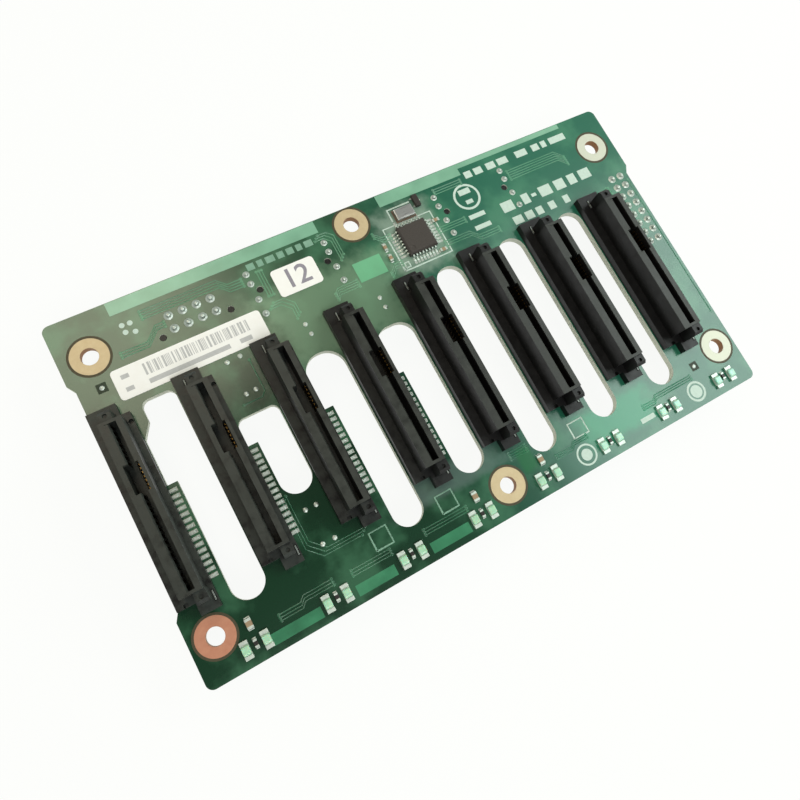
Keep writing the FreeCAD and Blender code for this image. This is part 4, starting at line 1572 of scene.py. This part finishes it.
class BACKPLANE_OT_contacts(bpy.types.Operator):
    """Stand the spring blades in their chambers"""

    bl_idname = "backplane.contacts"
    bl_label = "Receptacle contacts"

    def execute(self, context):
        _, connectors, _ = settings_of(context)
        gold = gold_plate(connectors)
        tree = parts_on_places_tree()
        main = row_of(connectors.long_row, CONTACT_PITCH, POWER_MIDDLE)
        main += row_of(connectors.short_row, CONTACT_PITCH, SIGNAL_MIDDLE)
        second = row_of(connectors.short_row, SECOND_PITCH, SECOND_MIDDLE)
        thickness = connectors.blade_thickness
        part = blade_part("blade_part", thickness, BLADE_WIDTH, 1.0)
        small = blade_part("small_blade_part", thickness, SECOND_WIDTH, SECOND_LEAN)
        groups = []
        for piece, back, facing, rows in (
            (part, -LONG_ROW_BACK, 0.0, main),
            (small, SECOND_ROW_BACK, math.pi, second),
        ):
            points = [
                Vector((bay_x(bay) + back * MM, ROW_Y + y * MM, 0))
                for bay in range(len(BAYS))
                for y in rows
            ]
            sizes = {"Part": piece, "Size": 1.0, "Finish": gold}
            turns = [facing] * len(points)
            groups.append(grown(piece.name + "s", tree, sizes, points, turns=turns))
        discard(part, small)
        nodes = [name.replace("_receptacle", "_contacts") for name in BAYS]
        dressed(joined("receptacle_contacts", groups), gold, "gold_contact", *nodes)
        tail = tail_part()
        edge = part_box(BAYS[0])[1][0] - FIRST_SLOT_X
        points = [
            Vector((bay_x(bay) + edge, ROW_Y + y * MM, 0))
            for bay in range(len(BAYS))
            for y in row_of(connectors.long_row, CONTACT_PITCH, POWER_MIDDLE)
        ]
        tinned = dull_tin("Tinned tails", "#8F968F", "#BAC0B8")
        sizes = {"Part": tail, "Size": 1.0, "Finish": tinned}
        tails = grown("contact_tails", tree, sizes, points, turns=[0.0] * len(points))
        discard(tail)
        dressed(tails, None, "solder_tin")
        return {"FINISHED"}


class BACKPLANE_OT_hold_downs(bpy.types.Operator):
    """Round the hold-down plates and give them matt tin"""

    bl_idname = "backplane.hold_downs"
    bl_label = "Hold-down plates"

    def execute(self, context):
        nodes = [name.replace("_receptacle", "_hold_downs") for name in BAYS]
        plates = rounded(clean_copy("hold_down_plates", nodes), 0.06 * MM)
        tin = dull_tin("Matt tin plate", "#6E746F", "#979D97")
        dressed(plates, tin, "solder_tin", *nodes)
        return {"FINISHED"}


# ---- Controller and small parts
# The controller's leads, in mm: side view of a lead's middle line and of its solder wedge.
LEAD_PATH = [
    (0.0, 0.83),
    (0.3, 0.83),
    (0.42, 0.78),
    (0.48, 0.66),
    (0.52, 0.2),
    (0.6, 0.09),
    (1.0, 0.08),
]
LEAD_WEDGE = [(0.35, 0.0), (1.35, 0.0), (1.3, 0.05), (1.02, 0.11), (0.6, 0.06), (0.4, 0.05)]
LEAD_WIDTH = 0.33
WEDGE_SPREAD = 1.35  # the wedge's width, as a share of the lead's
LEAD_THICKNESS = 0.14
LEAD_PITCH = 0.8
LEADS_A_SIDE = 8
PAD_START = 0.3  # package's side out to a pad's near and far end
PAD_END = 1.95
PAD_WIDTH = 0.54
PAD_RISE = 0.02 * MM


def lead_part():
    """One gull-wing lead that leaves the package towards +X, with its wider solder wedge."""
    half = LEAD_WIDTH * MM / 2
    upper = [(x + LEAD_THICKNESS / 3, z + LEAD_THICKNESS / 2) for x, z in LEAD_PATH]
    lower = [(x, z - LEAD_THICKNESS / 2) for x, z in reversed(LEAD_PATH)]
    shape = bmesh.new()
    outline = [(x * MM, half, z * MM) for x, z in upper + lower]
    add_prism(shape, outline, (0, -2 * half, 0))
    spread = half * WEDGE_SPREAD
    outline = [(x * MM, spread, z * MM) for x, z in reversed(LEAD_WEDGE)]
    add_prism(shape, outline, (0, -2 * spread, 0))
    return from_bmesh("lead_part", shape)


class BACKPLANE_OT_controller(bpy.types.Operator):
    """Mould the controller package and form its leads"""

    bl_idname = "backplane.controller"
    bl_label = "Controller"

    def execute(self, context):
        _, _, parts = settings_of(context)
        epoxy = flat_print("Moulded epoxy", parts.epoxy, linear("#4A433D"), 0.25, 0.5)
        body = rounded(clean_copy("controller_package", ["controller_body"]), 0.07 * MM)
        dressed(body, epoxy, "chip_moulding", "controller_body")
        low, high = (Vector(corner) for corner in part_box("controller_body"))
        middle = (low + high) / 2
        reach = (high.x - low.x) / 2
        lead = lead_part()
        points = []
        turns = []
        for quarter in range(4):
            turn = quarter * math.pi / 2
            out = Vector((math.cos(turn), math.sin(turn), 0))
            along = Vector((-out.y, out.x, 0))
            for place in row_of(LEADS_A_SIDE, LEAD_PITCH, 0):
                spot = Vector((middle.x, middle.y, 0)) + out * reach + along * place * MM
                points.append(spot)
                turns.append(turn)
        tin = soldered_tin()
        sizes = {"Part": lead, "Size": 1.0, "Finish": tin}
        leads = grown("controller_lead_rows", parts_on_places_tree(), sizes, points, turns=turns)
        discard(lead)
        dressed(leads, None, "solder_tin", "controller_leads")
        pads = bmesh.new()
        for spot, turn in zip(points, turns):
            along = Vector((math.cos(turn), math.sin(turn), 0)) * MM
            across = Vector((-along.y, along.x, 0)) * PAD_WIDTH / 2
            inner = spot + along * PAD_START
            outer = spot + along * PAD_END
            outline = [inner - across, outer - across, outer + across, inner + across]
            add_prism(pads, outline, (0, 0, PAD_RISE))
        tinned = dull_tin("Tinned pads", "#9AA19A", "#C2C8C0")
        dressed(from_bmesh("controller_pads", pads), tinned, "solder_tin")
        return {"FINISHED"}


class BACKPLANE_OT_clock(bpy.types.Operator):
    """Finish the clock crystal and the small transistor"""

    bl_idname = "backplane.clock"
    bl_label = "Clock and transistor"

    def execute(self, context):
        ceramic = flat_print("Fired ceramic", linear("#5A4A3C"), linear("#6B5A49"), 0.3, 0.6)
        base = rounded(clean_copy("clock_ceramic_base", ["clock_base"]), 0.08 * MM)
        dressed(base, ceramic, "ceramic_base", "clock_base")
        lid = rounded(clean_copy("clock_metal_lid", ["clock_lid"]), 0.16 * MM, 3)
        dressed(lid, nickel_sheet(), "plated_lid", "clock_lid")
        dark, worn = linear("#26231F"), linear("#35312C")
        epoxy = flat_print("Moulded epoxy, transistor", dark, worn, 0.25, 0.5)
        body = rounded(clean_copy("transistor_package", ["transistor_body"]), 0.12 * MM)
        dressed(body, epoxy, "black_moulding", "transistor_body")
        feet = rounded(clean_copy("transistor_legs", ["transistor_feet"]), 0.05 * MM)
        dressed(feet, soldered_tin(), "solder_tin", "transistor_feet")
        return {"FINISHED"}


def block_middles(node):
    """Centre and half size of each separate solid in a node, from left to right."""
    shape = bmesh.new()
    shape.from_mesh(frame["nodes"][node].data)
    bmesh.ops.remove_doubles(shape, verts=shape.verts, dist=SAME_PLACE)
    left = set(shape.verts)
    found = []
    while left:
        group = [left.pop()]
        corners = []
        while group:
            corner = group.pop()
            corners.append(corner.co.copy())
            for edge in corner.link_edges:
                other = edge.other_vert(corner)
                if other in left:
                    left.remove(other)
                    group.append(other)
        low = Vector([min(corner[i] for corner in corners) for i in range(3)])
        high = Vector([max(corner[i] for corner in corners) for i in range(3)])
        found.append(((low + high) / 2, (high - low) / 2))
    shape.free()
    return sorted(found, key=lambda block: tuple(block[0]))


CAP_SHARE = 0.26  # length of one end cap, as a share of its chip's
BODY_SETBACK = 0.9  # chip's end to its body's end, as a share of a cap's length
BODY_BREADTH = 0.97  # body's breadth and height, as shares of its caps'
BODY_HEIGHT = 0.96
FILLET_REACH = 0.35 * MM
FILLET_BREADTH = 0.95  # as a share of its chip's
FILLET_BACK = 0.98  # chip's middle to the fillet's back, as a share of the chip's half length
# Side of a fillet: out, as a share of its reach, and up, as a share of the chip's half height.
FILLET_SIDE = [(0.0, 0.0), (1.0, 0.0), (0.4, 0.45), (0.0, 1.3)]


def capped_parts(node):
    """Chip parts of a node: bodies, and the tinned caps with their solder at both ends."""
    bodies = bmesh.new()
    caps = bmesh.new()
    for middle, half in block_middles(node):
        lengthwise = 0 if half.x > half.y else 1
        across = 1 - lengthwise
        cap = CAP_SHARE * half[lengthwise] * 2
        size = half.copy()
        size[lengthwise] -= cap * BODY_SETBACK
        size[across] *= BODY_BREADTH
        size.z *= BODY_HEIGHT
        add_box(bodies, middle - size, middle + size)
        for side in (-1, 1):
            spot = middle.copy()
            spot[lengthwise] += side * (half[lengthwise] - cap / 2)
            size = half.copy()
            size[lengthwise] = cap / 2
            add_box(caps, spot - size, spot + size)
            add_fillet(caps, middle, half, lengthwise, side)
    return from_bmesh(node + "_bodies", bodies), from_bmesh(node + "_caps", caps)


def add_fillet(shape, middle, half, lengthwise, side):
    """Wedge of solder that climbs the end of a chip part."""
    foot = middle - Vector((0, 0, half.z))
    out = Vector((0, 0, 0))
    out[lengthwise] = side
    along = Vector((0, 0, 0))
    along[1 - lengthwise] = half[1 - lengthwise] * FILLET_BREADTH
    back = foot + out * half[lengthwise] * FILLET_BACK
    outline = [
        back - along + out * FILLET_REACH * reach + Vector((0, 0, half.z * climb))
        for reach, climb in FILLET_SIDE
    ]
    turned_in = side < 0 if lengthwise == 0 else side > 0
    add_prism(shape, outline if turned_in else outline[::-1], 2 * along)


class BACKPLANE_OT_chips(bpy.types.Operator):
    """Build the resistors and capacitors with their end caps"""

    bl_idname = "backplane.chips"
    bl_label = "Chip parts"

    def execute(self, context):
        _, _, parts = settings_of(context)
        glaze = flat_print("Glazed resistor", linear("#23201E"), linear("#33302D"), 0.3, 0.35)
        fired = flat_print("Fired capacitor", parts.ceramic, linear("#86735A"), 0.3, 0.5)
        tin = soldered_tin()
        for node, finish, slot in (
            ("resistors", glaze, "chip_moulding"),
            ("capacitors", fired, "capacitor_ceramic"),
        ):
            bodies, caps = capped_parts(node)
            dressed(rounded(bodies, 0.05 * MM), finish, slot, node)
            dressed(rounded(caps, 0.06 * MM), tin, "solder_tin", node)
        return {"FINISHED"}


# A status light's end pads, against its carrier's half size: their places and their half sizes.
LIGHT_PAD_PLACE = 0.86
LIGHT_PAD_SHARES = (1.04, 0.24, 1.15)


class BACKPLANE_OT_lights(bpy.types.Operator):
    """Build the status lights: pads, carriers and lenses"""

    bl_idname = "backplane.lights"
    bl_label = "Status lights"

    def execute(self, context):
        _, _, parts = settings_of(context)
        carrier = flat_print("White carrier", linear("#B9CDBB"), linear("#A3B8A5"), 0.4, 0.5)
        bases = rounded(clean_copy("light_carriers", ["status_light_bases"]), 0.07 * MM)
        dressed(bases, carrier, "led_base", "status_light_bases")
        lens = clean_copy("light_lenses", ["status_light_lenses"])
        dressed(rounded(lens, 0.22 * MM, 4), cloudy_lens(parts), "led_lens", "status_light_lenses")
        pads = bmesh.new()
        for middle, half in block_middles("status_light_bases"):
            for side in (-1, 1):
                spot = Vector((middle.x, middle.y + side * half.y * LIGHT_PAD_PLACE, 0))
                reach = Vector([size * share for size, share in zip(half, LIGHT_PAD_SHARES)])
                low = spot - Vector((reach.x, reach.y, 0))
                add_box(pads, low, spot + reach + Vector((0, 0, reach.z)))
        tin = soldered_tin()
        dressed(rounded(from_bmesh("light_end_pads", pads), 0.06 * MM), tin, "solder_tin")
        return {"FINISHED"}


# ---- Labels
NUMERAL = "12"
NUMERAL_HEIGHT = 6.2 * MM
NUMERAL_STROKE = 0.08 * MM  # added all round the numeral's outline
LABEL_CORNER = 0.8 * MM
CORNER_STEPS = 5
BAR_COUNT = 44
BAR_WIDTHS = (1, 1, 2, 3)  # what a bar's or a gap's width is drawn from
BAR_SEED = 11
# Room round the bars on their label, in mm: from its low corner and from its high corner.
BARS_FROM_LOW = (6.2, 3.0, 0)
BARS_FROM_HIGH = (3.0, 1.0, 0)
# Plain fields on the same label, in mm from its low corner: place, length and height.
LABEL_FIELDS = [
    (1.6, 4.1, 1.6, 0.9),
    (1.6, 1.4, 1.6, 0.9),
    (6.2, 1.1, 17.0, 1.0),
    (25.4, 1.1, 2.6, 1.0),
]


def printed_bars(shape, low, high, top):
    """Upright bars of uneven width across a rectangle."""
    chance = random.Random(BAR_SEED)
    widths = [chance.choice(BAR_WIDTHS) for _ in range(2 * BAR_COUNT)]
    unit = (high.x - low.x) / sum(widths)
    x = low.x
    for i, width in enumerate(widths):
        if i % 2 == 0:
            add_box(shape, (x, low.y, top), (x + width * unit, high.y, top + PRINT_RISE))
        x += width * unit


def rounded_sheet(node, radius):
    """Outline with rounded corners and thickness of a flat node, from its box."""
    low, high = (Vector(corner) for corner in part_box(node))
    outline = []
    corners = ((high.x, high.y), (low.x, high.y), (low.x, low.y), (high.x, low.y))
    for quarter, (x, y) in enumerate(corners):
        inward = Vector((-1 if x == high.x else 1, -1 if y == high.y else 1, 0)) * radius
        for step in range(CORNER_STEPS + 1):
            turn = (quarter + step / CORNER_STEPS) * math.pi / 2
            reach = Vector((math.cos(turn), math.sin(turn), 0)) * radius
            outline.append(Vector((x, y, low.z)) + inward + reach)
    return outline, (0, 0, high.z - low.z)


class BACKPLANE_OT_labels(bpy.types.Operator):
    """Stick the two labels down with their plain print"""

    bl_idname = "backplane.labels"
    bl_label = "Labels"

    def execute(self, context):
        _, _, parts = settings_of(context)
        paper = flat_print("Matt label paper", parts.paper, linear("#E6E5DE"), 1.5, 0.85, 0.12)
        ink = flat_print("Thermal print", parts.label_ink, linear("#BDBEBC"), 0.5, 0.65)
        dark, faded = linear("#7C7880"), linear("#95929A")
        dark_ink = flat_print("Thermal print, numeral", dark, faded, 0.5, 0.65)
        for node in ("barcode_label", "number_label"):
            sheet = bmesh.new()
            add_prism(sheet, *rounded_sheet(node, LABEL_CORNER))
            stuck = rounded(from_bmesh(node + "_sheet", sheet), 0.03 * MM)
            dressed(stuck, paper, "label_paper", node)
        low, high = (Vector(corner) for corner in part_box("barcode_label"))
        prints = bmesh.new()
        bars_low = low + Vector(BARS_FROM_LOW) * MM
        bars_high = high - Vector(BARS_FROM_HIGH) * MM
        printed_bars(prints, bars_low, bars_high, high.z)
        for x, y, long, tall in LABEL_FIELDS:
            corner = Vector((low.x + x * MM, low.y + y * MM, high.z))
            add_box(prints, corner, corner + Vector((long * MM, tall * MM, PRINT_RISE)))
        dressed(from_bmesh("label_bars", prints), ink, "label_paper")
        low, high = (Vector(corner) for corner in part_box("number_label"))
        text = bpy.data.curves.new("numeral", "FONT")
        text.body = NUMERAL
        text.size = NUMERAL_HEIGHT
        text.extrude = PRINT_RISE / 2
        text.offset = NUMERAL_STROKE
        text.align_x = "CENTER"
        text.align_y = "CENTER"
        numeral = evaluated(mesh_object("label_numeral", text))
        middle = Vector(((low.x + high.x) / 2, (low.y + high.y) / 2, high.z))
        numeral.data.transform(Matrix.Translation(middle))
        dressed(numeral, dark_ink, "label_paper")
        return {"FINISHED"}


# ---- Connectors on the far side
class BACKPLANE_OT_ports(bpy.types.Operator):
    """Round the data ports' folded shells, mould their insulators and finish their contacts"""

    bl_idname = "backplane.ports"
    bl_label = "Data ports"

    def execute(self, context):
        _, connectors, _ = settings_of(context)
        sheet = nickel_sheet()
        moulding = moulded_black(connectors)
        gold = gold_plate(connectors)
        for port in PORTS:
            prefix = "data_port_" + port
            shell = rounded(clean_copy(prefix + "_folded_shell", [prefix + "_shell"]), 0.1 * MM)
            dressed(shell, sheet, "shell_steel", prefix + "_shell")
            block = rounded(clean_copy(prefix + "_block", [prefix + "_insulator"]), 0.12 * MM)
            dressed(block, moulding, "black_moulding", prefix + "_insulator")
            refinished(prefix + "_contacts", gold)
        return {"FINISHED"}


class BACKPLANE_OT_headers(bpy.types.Operator):
    """Finish the power and signal headers"""

    bl_idname = "backplane.headers"
    bl_label = "Headers"

    def execute(self, context):
        _, connectors, _ = settings_of(context)
        nylon = flat_print("Black nylon", connectors.nylon, linear("#242423"), 1.2, 0.4)
        housing = rounded(clean_copy("power_header_shroud", ["power_header_housing"]), 0.14 * MM)
        dressed(housing, nylon, "black_moulding", "power_header_housing")
        pins = rounded(clean_copy("power_header_posts", ["power_header_pins"]), 0.12 * MM)
        dressed(pins, soldered_tin(), "solder_tin", "power_header_pins")
        strip = rounded(clean_copy("sideband_header_strip", ["sideband_header_body"]), 0.08 * MM)
        dressed(strip, moulded_black(connectors), "black_moulding", "sideband_header_body")
        posts = rounded(clean_copy("sideband_header_posts", ["sideband_header_pins"]), 0.12 * MM)
        dressed(posts, gold_plate(connectors), "gold_contact", "sideband_header_pins")
        return {"FINISHED"}


# ---- Stage
CAMERA_PLACE = Vector((-46.95, -53.44, 129.65)) * MM
CAMERA_AIM = Vector((-11.325, -34.97, 0)) * MM  # place on the board that it looks at
CAMERA_ROLL = math.radians(35.06)  # turn about its line of sight, from upright
FLOOR_REACH = 3.0
FLOOR_THICKNESS = 0.01
FLOOR_GAP = 0.05 * MM  # below the board's lowest part
GLOW_SHARE = 0.93  # glow in the floor that is seen; the rest is paint, which holds the shadow
# Lamps, by the setting that holds their power: size, place and aim in metres, and colour.
LAMPS = {
    "key": ((0.25, 0.22), (0.285, -0.05, 0.30), (0.23, -0.05, 0), "#F4FFFB"),
    "warm": ((0.16, 0.16), (-0.08, 0.13, 0.30), (-0.06, 0.08, 0), "#FFF0D8"),
    "fill": ((0.22, 0.22), (-0.02, -0.30, 0.42), (0, -0.03, 0), "#FFFFFF"),
}


def pale_floor(stage):
    """Matt paint with a fine tooth; seen straight or in a surface, it is nearly white."""
    material, tree, place = new_finish("Pale matt floor")
    tooth = add(tree, "ShaderNodeTexNoise", {"Vector": place, "Scale": per_mm(2)})
    relief = add(
        tree,
        "ShaderNodeBump",
        {"Height": tooth.outputs[0], "Strength": 0.02, "Distance": 0.1 * MM},
    )
    paint = add(
        tree,
        "ShaderNodeBsdfPrincipled",
        {"Base Color": stage.floor, "Roughness": 0.9, "Normal": relief.outputs[0]},
    )
    glow = add(tree, "ShaderNodeEmission", {"Color": linear("#FDFEFC"), "Strength": 1.0})
    ray = add(tree, "ShaderNodeLightPath")
    seen = add(
        tree,
        "ShaderNodeMath",
        {0: ray.outputs["Is Camera Ray"], 1: ray.outputs["Is Glossy Ray"]},
        operation="MAXIMUM",
    )
    through = add(
        tree,
        "ShaderNodeMath",
        {0: seen.outputs[0], 1: ray.outputs["Is Transmission Ray"]},
        operation="MAXIMUM",
    )
    share = add(
        tree,
        "ShaderNodeMath",
        {0: through.outputs[0], 1: GLOW_SHARE},
        operation="MULTIPLY",
    )
    mixed = add(
        tree,
        "ShaderNodeMixShader",
        {0: share.outputs[0], 1: paint.outputs[0], 2: glow.outputs[0]},
    )
    add(tree, "ShaderNodeOutputMaterial", {"Surface": mixed.outputs[0]})
    return material


def pale_room():
    """World that is pale all round and nearly dark overhead, where the lamps are."""
    world = bpy.data.worlds.new("Pale room")
    world.use_nodes = True
    tree = world.node_tree
    tree.nodes.clear()
    heading = add(tree, "ShaderNodeTexCoord").outputs["Generated"]
    height = add(tree, "ShaderNodeSeparateXYZ", {0: heading})
    level = add(
        tree, "ShaderNodeMapRange", {0: height.outputs[2], 1: 0.3, 2: 0.9, 3: 1.0, 4: 0.08}
    )
    room = add(
        tree, "ShaderNodeBackground", {"Color": linear("#FBFCFB"), "Strength": level.outputs[0]}
    )
    add(tree, "ShaderNodeOutputWorld", {"Surface": room.outputs[0]})
    return world


def lamp(name, power, size, place, aim, colour):
    """Soft rectangular lamp that looks at a place."""
    light = bpy.data.lights.new(name, "AREA")
    light.energy = power
    light.shape = "RECTANGLE"
    light.size, light.size_y = size
    light.color = linear(colour)[:3]
    thing = bpy.data.objects.new(name, light)
    thing.location = place
    thing.rotation_euler = (Vector(aim) - Vector(place)).to_track_quat("-Z", "Y").to_euler()
    bpy.context.scene.collection.objects.link(thing)


def camera_over_board(lens):
    """Camera that looks down from over the board's lower left part."""
    view = bpy.data.cameras.new("camera")
    view.sensor_width = 36
    view.lens = lens
    view.clip_start = 0.005
    camera = bpy.data.objects.new("camera", view)
    upright = (CAMERA_AIM - CAMERA_PLACE).to_track_quat("-Z", "Y").to_matrix().to_4x4()
    roll = Matrix.Rotation(CAMERA_ROLL, 4, "Z")
    camera.matrix_world = Matrix.Translation(CAMERA_PLACE) @ upright @ roll
    bpy.context.scene.collection.objects.link(camera)
    return camera


class BACKPLANE_OT_stage(bpy.types.Operator):
    """Lay the pale floor and set the lamps and the camera"""

    bl_idname = "backplane.stage"
    bl_label = "Stage"

    def execute(self, context):
        scene = context.scene
        stage = scene.backplane_stage
        low, _ = cad_box
        shape = bmesh.new()
        corner = (-FLOOR_REACH, -FLOOR_REACH, low[2] - FLOOR_THICKNESS)
        add_box(shape, corner, (FLOOR_REACH, FLOOR_REACH, low[2] - FLOOR_GAP))
        floor = from_bmesh("floor", shape)
        floor.data.materials.append(pale_floor(stage))
        scene.world = pale_room()
        for name, placed in LAMPS.items():
            lamp(name, getattr(stage, name), *placed)
        scene.camera = camera_over_board(stage.lens)
        scene.view_settings.view_transform = "Standard"
        return {"FINISHED"}


# ---- Panel
PIECES = [
    BACKPLANE_OT_board,
    BACKPLANE_OT_print,
    BACKPLANE_OT_screw_lands,
    BACKPLANE_OT_solder,
    BACKPLANE_OT_housings,
    BACKPLANE_OT_contacts,
    BACKPLANE_OT_hold_downs,
    BACKPLANE_OT_controller,
    BACKPLANE_OT_clock,
    BACKPLANE_OT_chips,
    BACKPLANE_OT_lights,
    BACKPLANE_OT_labels,
    BACKPLANE_OT_ports,
    BACKPLANE_OT_headers,
    BACKPLANE_OT_stage,
]
GROUPS = {
    "backplane_board": BoardSettings,
    "backplane_connectors": ConnectorSettings,
    "backplane_parts": PartSettings,
    "backplane_stage": StageSettings,
}


class BACKPLANE_PT_panel(bpy.types.Panel):
    """The board's settings and pieces"""

    bl_idname = "BACKPLANE_PT_panel"
    bl_label = "Backplane"
    bl_space_type = "VIEW_3D"
    bl_region_type = "UI"
    bl_category = "Backplane"

    def draw(self, context):
        for name, group in GROUPS.items():
            box = self.layout.box()
            for setting in group.__annotations__:
                box.prop(getattr(context.scene, name), setting)
        for piece in PIECES:
            self.layout.operator(piece.bl_idname)


CLASSES = [*GROUPS.values(), *PIECES, BACKPLANE_PT_panel]


def register():
    """Register the classes and keep their settings on the scene."""
    for kind in CLASSES:
        bpy.utils.register_class(kind)
    for name, group in GROUPS.items():
        setattr(bpy.types.Scene, name, PointerProperty(type=group))


def unregister():
    """Take the settings and the classes away."""
    for name in GROUPS:
        delattr(bpy.types.Scene, name)
    for kind in reversed(CLASSES):
        bpy.utils.unregister_class(kind)


def main():
    """Build every piece in order."""
    register()
    for piece in PIECES:
        area, name = piece.bl_idname.split(".")
        getattr(getattr(bpy.ops, area), name)()
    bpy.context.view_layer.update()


if __name__ == "__main__":
    main()
